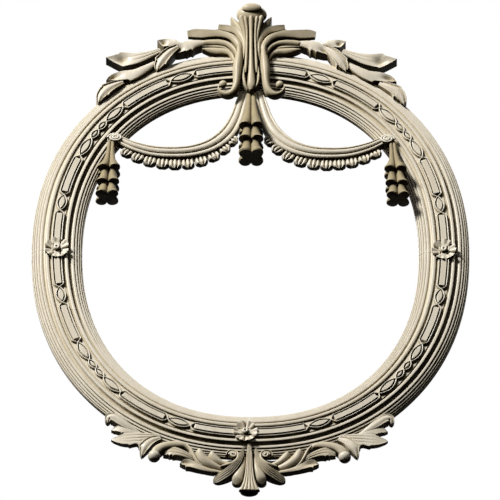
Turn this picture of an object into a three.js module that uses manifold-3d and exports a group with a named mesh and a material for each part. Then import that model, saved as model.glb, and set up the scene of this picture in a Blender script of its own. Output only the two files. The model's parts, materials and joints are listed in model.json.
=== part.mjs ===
// Carved oval picture frame with a leaf crest, draped swags, tassels, rosettes and a base palmette.
// Millimetres, +Z up. The frame stands upright with its front towards -Y and the wall at y = 0.
// The origin is the centre of the oval, on the wall plane.
//
// Every piece is shaped as on a bench: x to the right, y up the frame, z towards the viewer,
// with z = 0 on the flat back of the moulding. One group at the end stands the bench upright.

import * as THREE from 'three';
import { mergeVertices } from 'three/addons/utils/BufferGeometryUtils.js';
import Module from 'manifold-3d';

const wasm = await Module();
wasm.setup();

// Oval, moulding and rebate

const SIGHT_WIDTH = 497; // clear opening from side to side
const SIGHT_HEIGHT = 596; // clear opening from bottom to top
const OVAL_POWER = 2.18; // 2 is an ellipse, more is squarer
const MOULDING_WIDTH = 75; // sight edge to outer edge
const MOULDING_HEIGHT = 21; // flat back to crown
const EDGE_HEIGHT = 5; // upright wall at both edges of the moulding
const REBATE_WIDTH = 10; // sight edge to the back frame, behind which the picture lies
const REBATE_CUT = 1; // the ledge under the picture is sunk this deep into the moulding
const REBATE_LAND = 1; // flat left between the ledge and the back frame
const BACK_INSET = 8; // outer edge of the moulding to the back frame
const BACK_THICKNESS = 10;
const WALL_GAP = 5; // back frame to wall, where the hangers lie
const FIT = 0.3; // gap left between neighbouring pieces

// Applied ornament

const ROSETTE_RADIUS = 17;
const ROSETTE_RISE = 13; // above the crown
const ROSETTE_PETALS = 6;
const BOTTOM_ROSETTE_SHIFT = -6; // the bottom rosette sits left of the middle
const PEG_RADIUS = 4;
const PEG_DEPTH = 12; // below the crown
const LEAF_EDGE = 7; // wall at the edge of a carved leaf
const TRUNK_EDGE = 14; // wall at the edge of the crest's body
const CREST_LEDGE = 18; // height above the back where the crest overhangs the opening
const CREST_RISE = 68; // top of the crest above the moulding
const TIP_RADII = [15, 7.3, 7.3]; // curled tip of the crest
const TIP_BELOW_TOP = 11.5;
const TIP_HEIGHT = 45;
const EYE_RADIUS = 6.5; // ball in the middle of each volute
const EYE_HEIGHT = 23;
const BALL_RADIUS = 9.3; // ball drop under each base scroll
const BALL_HEIGHT = 14;
const BALL_ANGLE = -68.6;
const BALL_FROM_RIM = 30;

// Swags, fringe, knots and tassels

const KNOT_ANGLE = 39.3; // on the oval, from the right
const KNOT_FROM_SIGHT = 8.2;
const KNOT_RADII = [12.5, 8.5, 11];
const KNOT_HEIGHT = 16;
const SWAG_START_X = 13;
const SWAG_BELOW_SIGHT = 15; // where the swag begins, under the top of the opening
const SWAG_DROP = 67; // sag below the line between the two ends
const SWAG_BASE = 8; // the swag lies on the fringe, which is this thick under it
const SWAG_EDGE = 5;
const FRINGE_TABS = 11;
const FRINGE_LENGTH = 12; // longest tab, below the swag
const FRINGE_START = 0.3; // share of the swag's length where the fringe begins
const FRINGE_END = 0.95;
const TASSEL_LENGTH = 108;
const TASSEL_WIDTH = 31;
const TASSEL_DEPTH = 37;
const TASSEL_LEANS = { right: 8, left: 5.5 }; // the side tassels lean outwards
const TASSEL_BACK = 1; // hind side of a tassel's tiers, above the moulding's back
const CENTRE_TASSEL_LENGTH = 130;
const CENTRE_TASSEL_WIDTH = 33;
const CENTRE_TASSEL_DEPTH = 43;

// Cleats and fittings on the back

const CLEAT_WIDTH = 44;
const CLEAT_ON_FRAME = 24; // length let into the back frame
const CLEAT_REACH = 46; // length beyond the back frame
const CLEAT_SCREW_SPACING = 24;
const CLEAT_SCREW_FROM_END = 9;
const SCREW_RADIUS = 2;
const SCREW_BITE = 8; // length in the wood beyond a cleat or a fitting
const SCREW_HEAD_RADIUS = 4;
const SCREW_HEAD_HEIGHT = 1.5;
const BUTTON_LENGTH = 36;
const BUTTON_WIDTH = 11;
const BUTTON_THICKNESS = 2;
const BUTTON_FROM_REBATE = 10; // pivot to rebate edge
const HANGER_ANGLE = 30; // on the oval, above the horizontal
const STRAP_WIDTH = 11;
const STRAP_LENGTH = 36;
const STRAP_THICKNESS = 0.9;
const STRAP_SCREW_FROM_END = 9;
const KNUCKLE_LENGTH = 8;
const RING_WIRE_RADIUS = 1;
const RING_WIDTH = 20; // between wire centres
const RING_DROP = 19; // hinge to the far wire centre
const BUMPER_RADIUS = 6;
const BUMPER_ANGLE = 25; // to either side of the bottom

// Fineness of the facets

const QUADRANT_STEPS = 14;
const ARC_STEPS = 14;
const ROUND_STEPS = 10;
const SCREW_SIDES = 8;
const RING_STEPS = 18;
const WIRE_SIDES = 6;
const WELD = 1e-4;
const CUT_PAST = 1; // how far a cutter runs out of the piece it cuts

// Values worked out from the sizes above

const HALF_MOULDING = MOULDING_WIDTH / 2;
const SIGHT_TOP = SIGHT_HEIGHT / 2;
const CROWN_X = SIGHT_WIDTH / 2 + HALF_MOULDING;
const CROWN_Y = SIGHT_TOP + HALF_MOULDING;
const OUTER_TOP = SIGHT_TOP + MOULDING_WIDTH;
const CROWN_WALL = MOULDING_HEIGHT - EDGE_HEIGHT;
const BACK_FRONT = -FIT;
const BACK_REAR = BACK_FRONT - BACK_THICKNESS;
const WALL_PLANE = BACK_REAR - WALL_GAP;
const FITTING_FRONT = BACK_REAR - FIT;
const REBATE_OFFSET = REBATE_WIDTH - HALF_MOULDING;
const BACK_OUTER_OFFSET = HALF_MOULDING - BACK_INSET;

// Reeds and grooves of the moulding: distance from the crown as a share of the half width,
// and height above the edge wall as a share of the crown's.
const REED_TOPS = [[0.19, 1], [0.4, 0.89], [0.64, 0.6], [0.9, 0.19], [1, 0]];
const GROOVES = [[0.27, 0.84], [0.54, 0.61], [0.72, 0.43], [0.81, 0.22]];

// Materials

const carvedWood = () => new THREE.MeshStandardMaterial({ color: 0xd9cfb4, roughness: 0.55 });
const plainWood = () => new THREE.MeshStandardMaterial({ color: 0xb08a5c, roughness: 0.75 });
const steel = () => new THREE.MeshStandardMaterial({ color: 0x9a9c9e, roughness: 0.35, metalness: 1 });
const brass = () => new THREE.MeshStandardMaterial({ color: 0xb0904c, roughness: 0.35, metalness: 1 });
const rubber = () => new THREE.MeshStandardMaterial({ color: 0x2f2d2b, roughness: 0.9 });

// Solids

function solidFrom(geometry) {
  const bare = geometry.clone();
  const extras = Object.keys(bare.attributes).filter((name) => name !== 'position');
  extras.forEach((name) => bare.deleteAttribute(name));
  const merged = mergeVertices(bare, WELD);
  return new wasm.Manifold(new wasm.Mesh({
    numProp: 3,
    vertProperties: new Float32Array(merged.attributes.position.array),
    triVerts: new Uint32Array(merged.index.array),
  }));
}

function geometryFrom(solid) {
  const mesh = solid.getMesh();
  const geometry = new THREE.BufferGeometry();
  geometry.setAttribute('position', new THREE.BufferAttribute(new Float32Array(mesh.vertProperties), 3));
  geometry.setIndex(new THREE.BufferAttribute(new Uint32Array(mesh.triVerts), 1));
  geometry.computeVertexNormals();
  return geometry;
}

const joined = (solids) => solids.reduce((whole, solid) => whole.add(solid));
const without = (solid, cutters) => cutters.reduce((rest, cutter) => rest.subtract(cutter), solid);

// The largest body that a cut leaves, without the chips beside it.
function mainBody(solid) {
  const bodies = solid.decompose();
  return bodies.reduce((best, body) => (body.volume() > best.volume() ? body : best));
}

function mirrored(geometry) {
  const copy = geometry.clone().scale(-1, 1, 1);
  const order = copy.index.array;
  for (let i = 0; i < order.length; i += 3) {
    [order[i + 1], order[i + 2]] = [order[i + 2], order[i + 1]];
  }
  copy.computeVertexNormals();
  return copy;
}

// Skins a row of like sections. An open row is capped at both ends, a closed row joins up with itself.
function loft(sections, closed = false) {
  const count = sections[0].length;
  const index = [];
  const spans = closed ? sections.length : sections.length - 1;
  for (let s = 0; s < spans; s++) {
    const next = (s + 1) % sections.length;
    for (let i = 0; i < count; i++) {
      const j = (i + 1) % count;
      index.push(s * count + i, s * count + j, next * count + i);
      index.push(s * count + j, next * count + j, next * count + i);
    }
  }
  if (!closed) {
    const last = (sections.length - 1) * count;
    const end = sections[sections.length - 1];
    capTriangles(sections[0]).forEach(([a, b, c]) => index.push(a, c, b));
    capTriangles(end).forEach(([a, b, c]) => index.push(last + a, last + b, last + c));
  }
  const points = sections.flat();
  const geometry = new THREE.BufferGeometry().setFromPoints(points);
  geometry.setIndex(signedVolume(points, index) < 0 ? index.reverse() : index);
  return geometry;
}

// Triangles over one flat section, turned the way the section runs.
function capTriangles(section) {
  const normal = new THREE.Vector3();
  section.forEach((p, i) => {
    normal.add(new THREE.Vector3().crossVectors(p, section[(i + 1) % section.length]));
  });
  const side = new THREE.Vector3().subVectors(section[1], section[0]).normalize();
  const up = new THREE.Vector3().crossVectors(normal, side).normalize();
  const flat = section.map((p) => new THREE.Vector2(p.dot(side), p.dot(up)));
  return THREE.ShapeUtils.triangulateShape(flat, []).map(([a, b, c]) => {
    const first = flat[b].clone().sub(flat[a]);
    const second = flat[c].clone().sub(flat[a]);
    return first.cross(second) > 0 ? [a, b, c] : [a, c, b];
  });
}

function signedVolume(points, index) {
  let total = 0;
  for (let i = 0; i < index.length; i += 3) {
    const [a, b, c] = [points[index[i]], points[index[i + 1]], points[index[i + 2]]];
    total += a.dot(new THREE.Vector3().crossVectors(b, c));
  }
  return total / 6;
}

// Points of the oval: angle from the right, distance outwards from the crown line.

const swell = (value) => Math.sign(value) * Math.abs(value) ** (2 / OVAL_POWER);
const slope = (value, half) => (Math.sign(value) * Math.abs(value / half) ** (OVAL_POWER - 1)) / half;

function onOval(degrees, outwards) {
  const turn = THREE.MathUtils.degToRad(degrees);
  const x = CROWN_X * swell(Math.cos(turn));
  const y = CROWN_Y * swell(Math.sin(turn));
  const normal = new THREE.Vector2(slope(x, CROWN_X), slope(y, CROWN_Y)).normalize();
  return [x + normal.x * outwards, y + normal.y * outwards];
}

const onRim = (degrees, outwards) => onOval(degrees, HALF_MOULDING + outwards);

// Sweeps a profile of [distance from the crown line, height] along the oval.
function alongOval(profile, from, to, steps) {
  const closed = to - from >= 360;
  const count = closed ? steps : steps + 1;
  const sections = [];
  for (let s = 0; s < count; s++) {
    const degrees = from + ((to - from) * s) / steps;
    sections.push(profile.map(([outwards, height]) => {
      const [x, y] = onOval(degrees, outwards);
      return new THREE.Vector3(x, y, height);
    }));
  }
  return solidFrom(loft(sections, closed));
}

const heightOf = (share) => EDGE_HEIGHT + CROWN_WALL * share;

function mouldingProfile() {
  const half = [...REED_TOPS, ...GROOVES].sort((a, b) => a[0] - b[0]);
  const right = half.map(([reach, share]) => [reach * HALF_MOULDING, heightOf(share)]);
  const left = right.map(([reach, height]) => [-reach, height]).reverse();
  const ledgeEnd = REBATE_OFFSET - REBATE_LAND;
  return [[-HALF_MOULDING, REBATE_CUT], ...left, ...right, [HALF_MOULDING, 0], [ledgeEnd, 0],
    [ledgeEnd, REBATE_CUT]];
}

// Room that the moulding takes from the pieces planted on it.
function mouldingRoom() {
  const right = REED_TOPS.map(([reach, share]) => [reach * HALF_MOULDING, heightOf(share) + FIT]);
  right[right.length - 1][0] += FIT;
  const left = right.map(([reach, height]) => [-reach, height]).reverse();
  const reach = HALF_MOULDING + FIT;
  const profile = [[-reach, BACK_REAR], ...left, ...right, [reach, BACK_REAR]];
  return alongOval(profile, 0, 360, 4 * QUADRANT_STEPS);
}

// A round bar along z.
function bar(x, y, radius, low, high, sides = ROUND_STEPS) {
  const geometry = new THREE.CylinderGeometry(radius, radius, high - low, sides);
  geometry.rotateX(Math.PI / 2).translate(x, y, (low + high) / 2);
  return solidFrom(geometry);
}

function block([x, y, z], [width, height, depth]) {
  return solidFrom(new THREE.BoxGeometry(width, height, depth).translate(x, y, z));
}

function ellipsoid([x, y, z], [rx, ry, rz], { grow = 0, around = 10, along = 6 } = {}) {
  const geometry = new THREE.SphereGeometry(1, around, along);
  geometry.scale(rx + grow, ry + grow, rz + grow).translate(x, y, z);
  return solidFrom(geometry);
}

// A carved leaf, rib or scroll with a flat back: rows of [x, y, half width, top height] along its middle.
// Growing it by the fit gives the room that it takes from its neighbours.
function leaf(rows, { base = 0, edge = LEAF_EDGE, grow = 0, perRow = 2 } = {}) {
  const middle = new THREE.CatmullRomCurve3(rows.map(([x, y]) => new THREE.Vector3(x, y, 0)));
  const sizes = new THREE.CatmullRomCurve3(rows.map(([, , half, top]) => new THREE.Vector3(half, top, 0)));
  const steps = perRow * (rows.length - 1);
  const sections = [];
  for (let s = 0; s <= steps; s++) {
    const along = middle.getTangent(s / steps);
    const spot = middle.getPoint(s / steps);
    if (s === 0) spot.addScaledVector(along, -grow);
    if (s === steps) spot.addScaledVector(along, grow);
    const { x: half, y: top } = sizes.getPoint(s / steps);
    const wall = Math.min(base + edge, top - 1);
    const outline = [[-1, base - grow], [-1, wall + grow], [0, top + grow], [1, wall + grow],
      [1, base - grow]];
    sections.push(outline.map(([reach, height]) => new THREE.Vector3(
      spot.x - along.y * reach * (half + grow), spot.y + along.x * reach * (half + grow), height)));
  }
  return solidFrom(loft(sections));
}

const rimLeaf = (rows, options) => leaf(rows.map(([degrees, outwards, half, top]) => [
  ...onRim(degrees, outwards), half, top]), options);

// Moulding in four quadrants and back frame in four arcs

const ROSETTE_SPOTS = {
  rosette_right: [CROWN_X, 0],
  rosette_left: [-CROWN_X, 0],
  rosette_bottom: [BOTTOM_ROSETTE_SHIFT, -CROWN_Y],
};

const BACK_RIM = CROWN_Y + BACK_OUTER_OFFSET;

const cleatScrewSpots = (sign) => {
  const inner = sign * (BACK_RIM - CLEAT_ON_FRAME + CLEAT_SCREW_FROM_END);
  const outer = sign * (BACK_RIM + CLEAT_REACH - CLEAT_SCREW_FROM_END);
  const side = CLEAT_SCREW_SPACING / 2;
  return [[-side, inner], [side, inner], [-side, outer], [side, outer]];
};

const CLEAT_SCREWS = { crest: cleatScrewSpots(1), base: cleatScrewSpots(-1) };
const pilot = ([x, y], low, high) => bar(x, y, SCREW_RADIUS + FIT, low, high, SCREW_SIDES);
const cleatPilots = Object.values(CLEAT_SCREWS).flat().map((spot) => pilot(
  spot, BACK_REAR - CUT_PAST, SCREW_BITE + FIT));

function mouldingQuadrant(start) {
  const gap = THREE.MathUtils.radToDeg(Math.asin((FIT / 2 / CROWN_X) ** (OVAL_POWER / 2)));
  const plain = alongOval(mouldingProfile(), start + gap, start + 90 - gap, QUADRANT_STEPS);
  const pegHoles = Object.values(ROSETTE_SPOTS).map(([x, y]) => bar(
    x, y, PEG_RADIUS + FIT, MOULDING_HEIGHT - PEG_DEPTH - FIT, MOULDING_HEIGHT + CUT_PAST));
  return geometryFrom(without(plain, [...pegHoles, ...cleatPilots]));
}

const BUTTON_ANGLES = { right: 0, top: 90, left: 180, bottom: 270 };
const buttonSpot = (degrees) => onOval(degrees, REBATE_OFFSET + BUTTON_FROM_REBATE);
const [HANGER_X, HANGER_Y] = onOval(HANGER_ANGLE, 0);
const STRAP_SCREW_Y = HANGER_Y - STRAP_LENGTH + STRAP_SCREW_FROM_END;
const STRAP_SPOTS = { left: [-HANGER_X, STRAP_SCREW_Y], right: [HANGER_X, STRAP_SCREW_Y] };

function cleatBody(sign, grow = 0) {
  const length = CLEAT_ON_FRAME + CLEAT_REACH + 2 * grow;
  const middle = sign * (BACK_RIM + (CLEAT_REACH - CLEAT_ON_FRAME) / 2);
  const sizes = [CLEAT_WIDTH + 2 * grow, length, BACK_THICKNESS + 2 * grow];
  return block([0, middle, (BACK_FRONT + BACK_REAR) / 2], sizes);
}

function backArc(middle) {
  const gap = THREE.MathUtils.radToDeg(FIT / 2 / CROWN_X);
  const profile = [[REBATE_OFFSET, BACK_REAR], [REBATE_OFFSET, BACK_FRONT],
    [BACK_OUTER_OFFSET, BACK_FRONT], [BACK_OUTER_OFFSET, BACK_REAR]];
  const plain = alongOval(profile, middle - 45 + gap, middle + 45 - gap, ARC_STEPS);
  const deep = BACK_REAR + SCREW_BITE + FIT;
  const fittings = [...Object.values(BUTTON_ANGLES).map(buttonSpot), ...Object.values(STRAP_SPOTS)];
  const pilots = fittings.map((spot) => pilot(spot, BACK_REAR - CUT_PAST, deep));
  return geometryFrom(without(plain, [cleatBody(1, FIT), cleatBody(-1, FIT), ...pilots]));
}

// Cleats, screws and fittings

function cleat(sign) {
  const spots = sign > 0 ? CLEAT_SCREWS.crest : CLEAT_SCREWS.base;
  const pilots = spots.map((spot) => pilot(spot, BACK_REAR - CUT_PAST, BACK_FRONT + CUT_PAST));
  return geometryFrom(without(cleatBody(sign), pilots));
}

// A domed screw whose head lies on a face at z = seat and whose shank runs forward to the tip.
function screw([x, y], seat, tip) {
  const under = seat - FIT;
  const profile = [[0, under - SCREW_HEAD_HEIGHT], [SCREW_HEAD_RADIUS, under - SCREW_HEAD_HEIGHT / 2],
    [SCREW_HEAD_RADIUS, under], [SCREW_RADIUS, under], [SCREW_RADIUS, tip - SCREW_RADIUS], [0, tip]];
  const geometry = new THREE.LatheGeometry(profile.map(([r, z]) => new THREE.Vector2(r, z)), SCREW_SIDES);
  geometry.rotateX(Math.PI / 2).translate(x, y, 0);
  return geometryFrom(solidFrom(geometry));
}

const BUTTON_REAR = FITTING_FRONT - BUTTON_THICKNESS;

function turnButton(degrees) {
  const straight = BUTTON_LENGTH / 2 - BUTTON_WIDTH / 2;
  const outline = new THREE.Shape();
  outline.absarc(straight, 0, BUTTON_WIDTH / 2, -Math.PI / 2, Math.PI / 2, false);
  outline.absarc(-straight, 0, BUTTON_WIDTH / 2, Math.PI / 2, -Math.PI / 2, false);
  const geometry = new THREE.ExtrudeGeometry(outline, {
    depth: BUTTON_THICKNESS, bevelEnabled: false, curveSegments: ROUND_STEPS / 2 });
  const [x, y] = buttonSpot(degrees);
  geometry.rotateZ(THREE.MathUtils.degToRad(degrees + 90)).translate(x, y, BUTTON_REAR);
  const hole = pilot([x, y], BUTTON_REAR - CUT_PAST, FITTING_FRONT + CUT_PAST);
  return geometryFrom(solidFrom(geometry).subtract(hole));
}

const KNUCKLE_RADIUS = RING_WIRE_RADIUS + FIT + STRAP_THICKNESS;
const HINGE_Z = FITTING_FRONT - KNUCKLE_RADIUS;

// A round bar along x through the hinge line.
function hingeBar(x, radius, length) {
  const geometry = new THREE.CylinderGeometry(radius, radius, length, ROUND_STEPS);
  geometry.rotateZ(Math.PI / 2).translate(x, HANGER_Y, HINGE_Z);
  return solidFrom(geometry);
}

function hangerStrap(side) {
  const x = side * HANGER_X;
  const middle = [x, HANGER_Y - STRAP_LENGTH / 2, FITTING_FRONT - STRAP_THICKNESS / 2];
  const strap = block(middle, [STRAP_WIDTH, STRAP_LENGTH, STRAP_THICKNESS]);
  const knuckle = hingeBar(x, KNUCKLE_RADIUS, KNUCKLE_LENGTH);
  const bore = hingeBar(x, RING_WIRE_RADIUS + FIT, 2 * STRAP_WIDTH);
  const rear = FITTING_FRONT - STRAP_THICKNESS;
  const hole = pilot([x, STRAP_SCREW_Y], rear - CUT_PAST, FITTING_FRONT + CUT_PAST);
  return geometryFrom(without(strap.add(knuckle), [bore, hole]));
}

// The hanger's ring: a straight bar in the knuckle and a round loop that hangs from it.
function hangerRing(side) {
  const half = RING_WIDTH / 2;
  const outline = new THREE.Path();
  outline.moveTo(-half + RING_WIRE_RADIUS, 0);
  outline.lineTo(half - RING_WIRE_RADIUS, 0);
  outline.quadraticCurveTo(half, 0, half, -RING_WIRE_RADIUS);
  outline.lineTo(half, half - RING_DROP);
  outline.absarc(0, half - RING_DROP, half, 0, -Math.PI, true);
  outline.lineTo(-half, -RING_WIRE_RADIUS);
  outline.quadraticCurveTo(-half, 0, -half + RING_WIRE_RADIUS, 0);
  const middle = outline.getSpacedPoints(RING_STEPS).slice(0, -1);
  const sections = middle.map((spot, i) => {
    const before = middle[(i + middle.length - 1) % middle.length];
    const after = middle[(i + 1) % middle.length];
    const across = after.clone().sub(before).normalize().rotateAround(new THREE.Vector2(), Math.PI / 2);
    return Array.from({ length: WIRE_SIDES }, (_, k) => {
      const turn = (k / WIRE_SIDES) * 2 * Math.PI;
      const reach = RING_WIRE_RADIUS * Math.cos(turn);
      const x = side * HANGER_X + spot.x + across.x * reach;
      const y = HANGER_Y + spot.y + across.y * reach;
      return new THREE.Vector3(x, y, HINGE_Z + RING_WIRE_RADIUS * Math.sin(turn));
    });
  });
  return geometryFrom(solidFrom(loft(sections, true)));
}

function bumper(side) {
  const [x, y] = onOval(-90 + side * BUMPER_ANGLE, 0);
  return geometryFrom(bar(x, y, BUMPER_RADIUS, WALL_PLANE, FITTING_FRONT));
}

// Rosettes: a disc with a ring of petals and a button in the middle, on a peg

const MOULDING_ROOM = mouldingRoom();
const DISC_RADIUS = 0.7 * ROSETTE_RADIUS;
const PETAL_RADIUS = 0.34 * ROSETTE_RADIUS;
const DISC_TOP = MOULDING_HEIGHT + 0.6 * ROSETTE_RISE;
const PETAL_MIDDLE = MOULDING_HEIGHT + 0.4 * ROSETTE_RISE;

function rosette([x, y]) {
  const disc = bar(x, y, DISC_RADIUS, heightOf(REED_TOPS[1][1]), DISC_TOP);
  const buttonRadii = [PETAL_RADIUS, PETAL_RADIUS, MOULDING_HEIGHT + ROSETTE_RISE - DISC_TOP];
  const button = ellipsoid([x, y, DISC_TOP], buttonRadii, { around: 8, along: 4 });
  const reach = ROSETTE_RADIUS - PETAL_RADIUS;
  const petals = Array.from({ length: ROSETTE_PETALS }, (_, i) => {
    const turn = ((i + 0.5) / ROSETTE_PETALS) * 2 * Math.PI;
    const centre = [x + reach * Math.cos(turn), y + reach * Math.sin(turn), PETAL_MIDDLE];
    return ellipsoid(centre, Array(3).fill(PETAL_RADIUS), { around: 7, along: 4 });
  });
  const head = mainBody(joined([disc, button, ...petals]).subtract(MOULDING_ROOM));
  return geometryFrom(head.add(bar(x, y, PEG_RADIUS, MOULDING_HEIGHT - PEG_DEPTH, DISC_TOP)));
}

// Crest: heights on the frame are taken from the top of the moulding, its crown or its sight edge

const above = (rise) => OUTER_TOP + rise;
const sightTop = (rise) => SIGHT_TOP + rise;
const underTip = (drop) => OUTER_TOP + CREST_RISE - drop;

const bothSides = (rows) => [rows, rows.map(([x, ...rest]) => [-x, ...rest])];

function crestPalmette(grow = 0) {
  const over = { base: CREST_LEDGE, grow };
  const flute = [[0, sightTop(-11), 4, 29], [0, sightTop(9), 5.5, 33], [0, CROWN_Y, 4.2, 34],
    [0, above(0), 3.2, 34], [0, above(29), 3.4, 36], [0, underTip(14), 4.6, 44]];
  const sideFlute = [[5, sightTop(-10), 4, 28], [9.5, sightTop(9), 5, 32], [8, CROWN_Y, 4.2, 32],
    [5.6, above(0), 3.3, 32], [6.6, above(29), 3.6, 34], [10, underTip(14), 4.6, 42]];
  const second = [[6, above(16), 4.5, 30], [16, above(43), 5, 24], [31, above(62), 3.6, 14]];
  const trunk = [[0, above(-14), 15, 24], [0, above(18), 15, 25], [0, underTip(28), 19, 30],
    [0, underTip(13), 22, 34], [0, underTip(4), 19, 36], [0, underTip(0), 12, 36]];
  const tip = ellipsoid([0, underTip(TIP_BELOW_TOP), TIP_HEIGHT], TIP_RADII, { grow });
  return joined([leaf(flute, over), ...bothSides(sideFlute).map((rows) => leaf(rows, over)),
    ...bothSides(second).map((rows) => leaf(rows, { grow })), leaf(trunk, { edge: TRUNK_EDGE, grow }), tip]);
}

function crestVolute(grow = 0) {
  const stem = [[16.4, above(-11), 6.2, 30], [17, CROWN_Y - 3, 6.4, 32], [18.6, sightTop(11), 6.2, 32],
    [24, sightTop(-4), 6, 30], [34, sightTop(-10), 5.5, 28], [44, sightTop(-7), 4.5, 26],
    [48, sightTop(1), 3.6, 24]];
  const third = [[14, above(-10), 5, 28], [17, above(19), 5, 25], [28, above(39), 5.6, 19],
    [50, above(48), 4.2, 12]];
  const longLeaf = [[18, above(-24), 6, 30], [22, above(7), 6, 27], [40, above(29), 6.6, 19],
    [70, above(39), 6.6, 15], [96, above(40), 4.4, 11]];
  const lowLeaf = [[20, above(-15), 6, 28], [28, above(1), 8, 22], [45, above(9), 10.5, 18],
    [75, above(11), 11.5, 14]];
  const eye = ellipsoid([41.5, sightTop(3), EYE_HEIGHT], Array(3).fill(EYE_RADIUS), { grow, around: 8 });
  return joined([leaf(stem, { base: CREST_LEDGE, grow }), leaf(third, { grow }), leaf(longLeaf, { grow }),
    leaf(lowLeaf, { grow }), eye]);
}

// Leaves along the rim: rows of [angle on the oval, distance outside the rim, half width, top height]

function crestSpray(grow = 0) {
  const leaves = [
    [[78.9, 26, 10, 12], [76.3, 25, 9, 16], [73.6, 24, 7, 15]],
    [[78.4, 21, 8, 9], [74.8, 20, 7.5, 10], [70.6, 18, 6, 10]],
    [[73.7, 32, 6, 14], [71.4, 41, 6.5, 14], [69.7, 48, 5, 10]],
    [[73, 23, 6, 15], [69.9, 18, 7, 17], [67.7, 9, 6, 15], [66.1, -1, 3, 8]],
    [[69, 28, 6, 13], [65.2, 27, 9, 17], [60.9, 34, 10.5, 15], [57.8, 54, 5, 10]],
    [[65.9, 9, 6, 15], [61.8, 6, 8.5, 17], [57.7, 13, 8, 15], [54.1, 28, 4, 9]],
    [[58.6, 4, 5, 12], [55.4, 5, 5, 12], [52.5, 10, 7, 15], [49.9, 9, 7.5, 15], [47.5, 6, 5, 9]],
  ];
  return joined(leaves.map((rows) => rimLeaf(rows, { grow })));
}

// Base ornament: heights on the frame are taken from the bottom of the moulding

const below = (drop) => -OUTER_TOP - drop;

function basePalmette(grow = 0) {
  const flute = [[0, below(-18), 4, 16], [0, below(6), 4, 18], [0, below(35), 4.5, 17],
    [0, below(60), 7, 14], [0, below(66), 6.5, 12]];
  const sideFlute = [[5.5, below(-14), 3, 15], [5.5, below(11), 3.2, 16], [7.5, below(37), 3.8, 16],
    [12.5, below(60), 5.5, 13]];
  const second = [[5, below(4), 4, 14], [12, below(29), 6, 15], [20, below(48), 7.5, 12],
    [22.5, below(54), 6, 10]];
  const diagonal = [[8, below(-9), 5, 15], [17, below(10), 6.5, 15], [33, below(26), 8, 12],
    [49, below(37), 7, 9], [53, below(40), 4, 8]];
  const trunk = [[0, below(-12), 12, 11], [0, below(21), 13, 12], [0, below(45), 14, 10]];
  const pairs = [sideFlute, second, diagonal].flatMap(bothSides);
  return joined([flute, trunk, ...pairs].map((rows) => leaf(rows, { grow })));
}

function baseScroll(grow = 0) {
  const leaves = [
    [[-86.6, -4, 5, 11], [-84.9, 6, 5, 12], [-83, 6, 5.5, 13], [-81.2, -6, 5, 12]],
    [[-78.4, -6, 4.5, 12], [-78.7, 7, 5.5, 13], [-80.6, 14, 6, 10], [-83.4, 14, 5, 9]],
    [[-83.7, 22, 6.5, 9], [-79.5, 24, 7, 11], [-75, 25, 4, 9]],
    [[-75.3, -9, 4, 11], [-77.1, 1, 4, 13], [-78.2, 16, 5, 11]],
    [[-77.2, 7, 5, 11], [-73.9, 7, 6.5, 13], [-70.3, 15, 4, 9]],
    [[-76.7, -4, 4, 12], [-73.8, -6, 4.2, 15], [-70.1, -1, 4.4, 16], [-68, 11, 4.4, 16],
      [-67.8, 24, 4.5, 15]],
  ];
  return joined(leaves.map((rows) => rimLeaf(rows, { grow })));
}

const BALL_SPOT = [...onRim(BALL_ANGLE, BALL_FROM_RIM), BALL_HEIGHT];
const ballDrop = (grow = 0) => ellipsoid(BALL_SPOT, Array(3).fill(BALL_RADIUS), { grow });

function baseSpray(grow = 0) {
  const leaves = [
    [[-66.6, 0, 5, 9], [-60.5, 0, 5, 10], [-54, 1, 4, 9]],
    [[-66.3, 3, 5, 13], [-65.4, 17, 5.5, 15], [-65.7, 31, 3, 9]],
    [[-64.8, 1, 5, 12], [-61.5, 14, 9, 15], [-57.4, 29, 4.4, 9]],
    [[-61, 0, 4, 11], [-57.3, 4, 6.5, 13], [-53, 10, 4, 9]],
    [[-59.4, -4, 4, 12], [-56.1, -4, 5.5, 15], [-52.9, -1, 5.5, 13]],
  ];
  return joined(leaves.map((rows) => rimLeaf(rows, { grow })));
}

// Swags, fringe, knots and tassels

const KNOT_SPOT = [...onOval(KNOT_ANGLE, KNOT_FROM_SIGHT - HALF_MOULDING), KNOT_HEIGHT];
const knot = (grow = 0) => ellipsoid(KNOT_SPOT, KNOT_RADII, { grow });

// Rows of the swag: share of the span, share of the drop, half width, top height.
const SWAG_ROWS = [[0, 0, 6.5, 18.5], [0.056, 0.5, 7.5, 20], [0.128, 0.83, 8.2, 22], [0.246, 1, 8.6, 24],
  [0.4, 1, 8.4, 25], [0.564, 0.86, 8.2, 25], [0.73, 0.63, 8.2, 24], [0.88, 0.32, 7.6, 23], [1, 0, 6.5, 21]];

function swagSpots() {
  const startY = sightTop(-SWAG_BELOW_SIGHT);
  const endX = KNOT_SPOT[0] - KNOT_RADII[0] / 2;
  return SWAG_ROWS.map(([span, drop, half, top]) => [
    THREE.MathUtils.lerp(SWAG_START_X, endX, span),
    THREE.MathUtils.lerp(startY, KNOT_SPOT[1], span) - drop * SWAG_DROP, half, top]);
}

const swag = (grow = 0) => leaf(swagSpots(), { base: SWAG_BASE, edge: SWAG_EDGE, grow });

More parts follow.
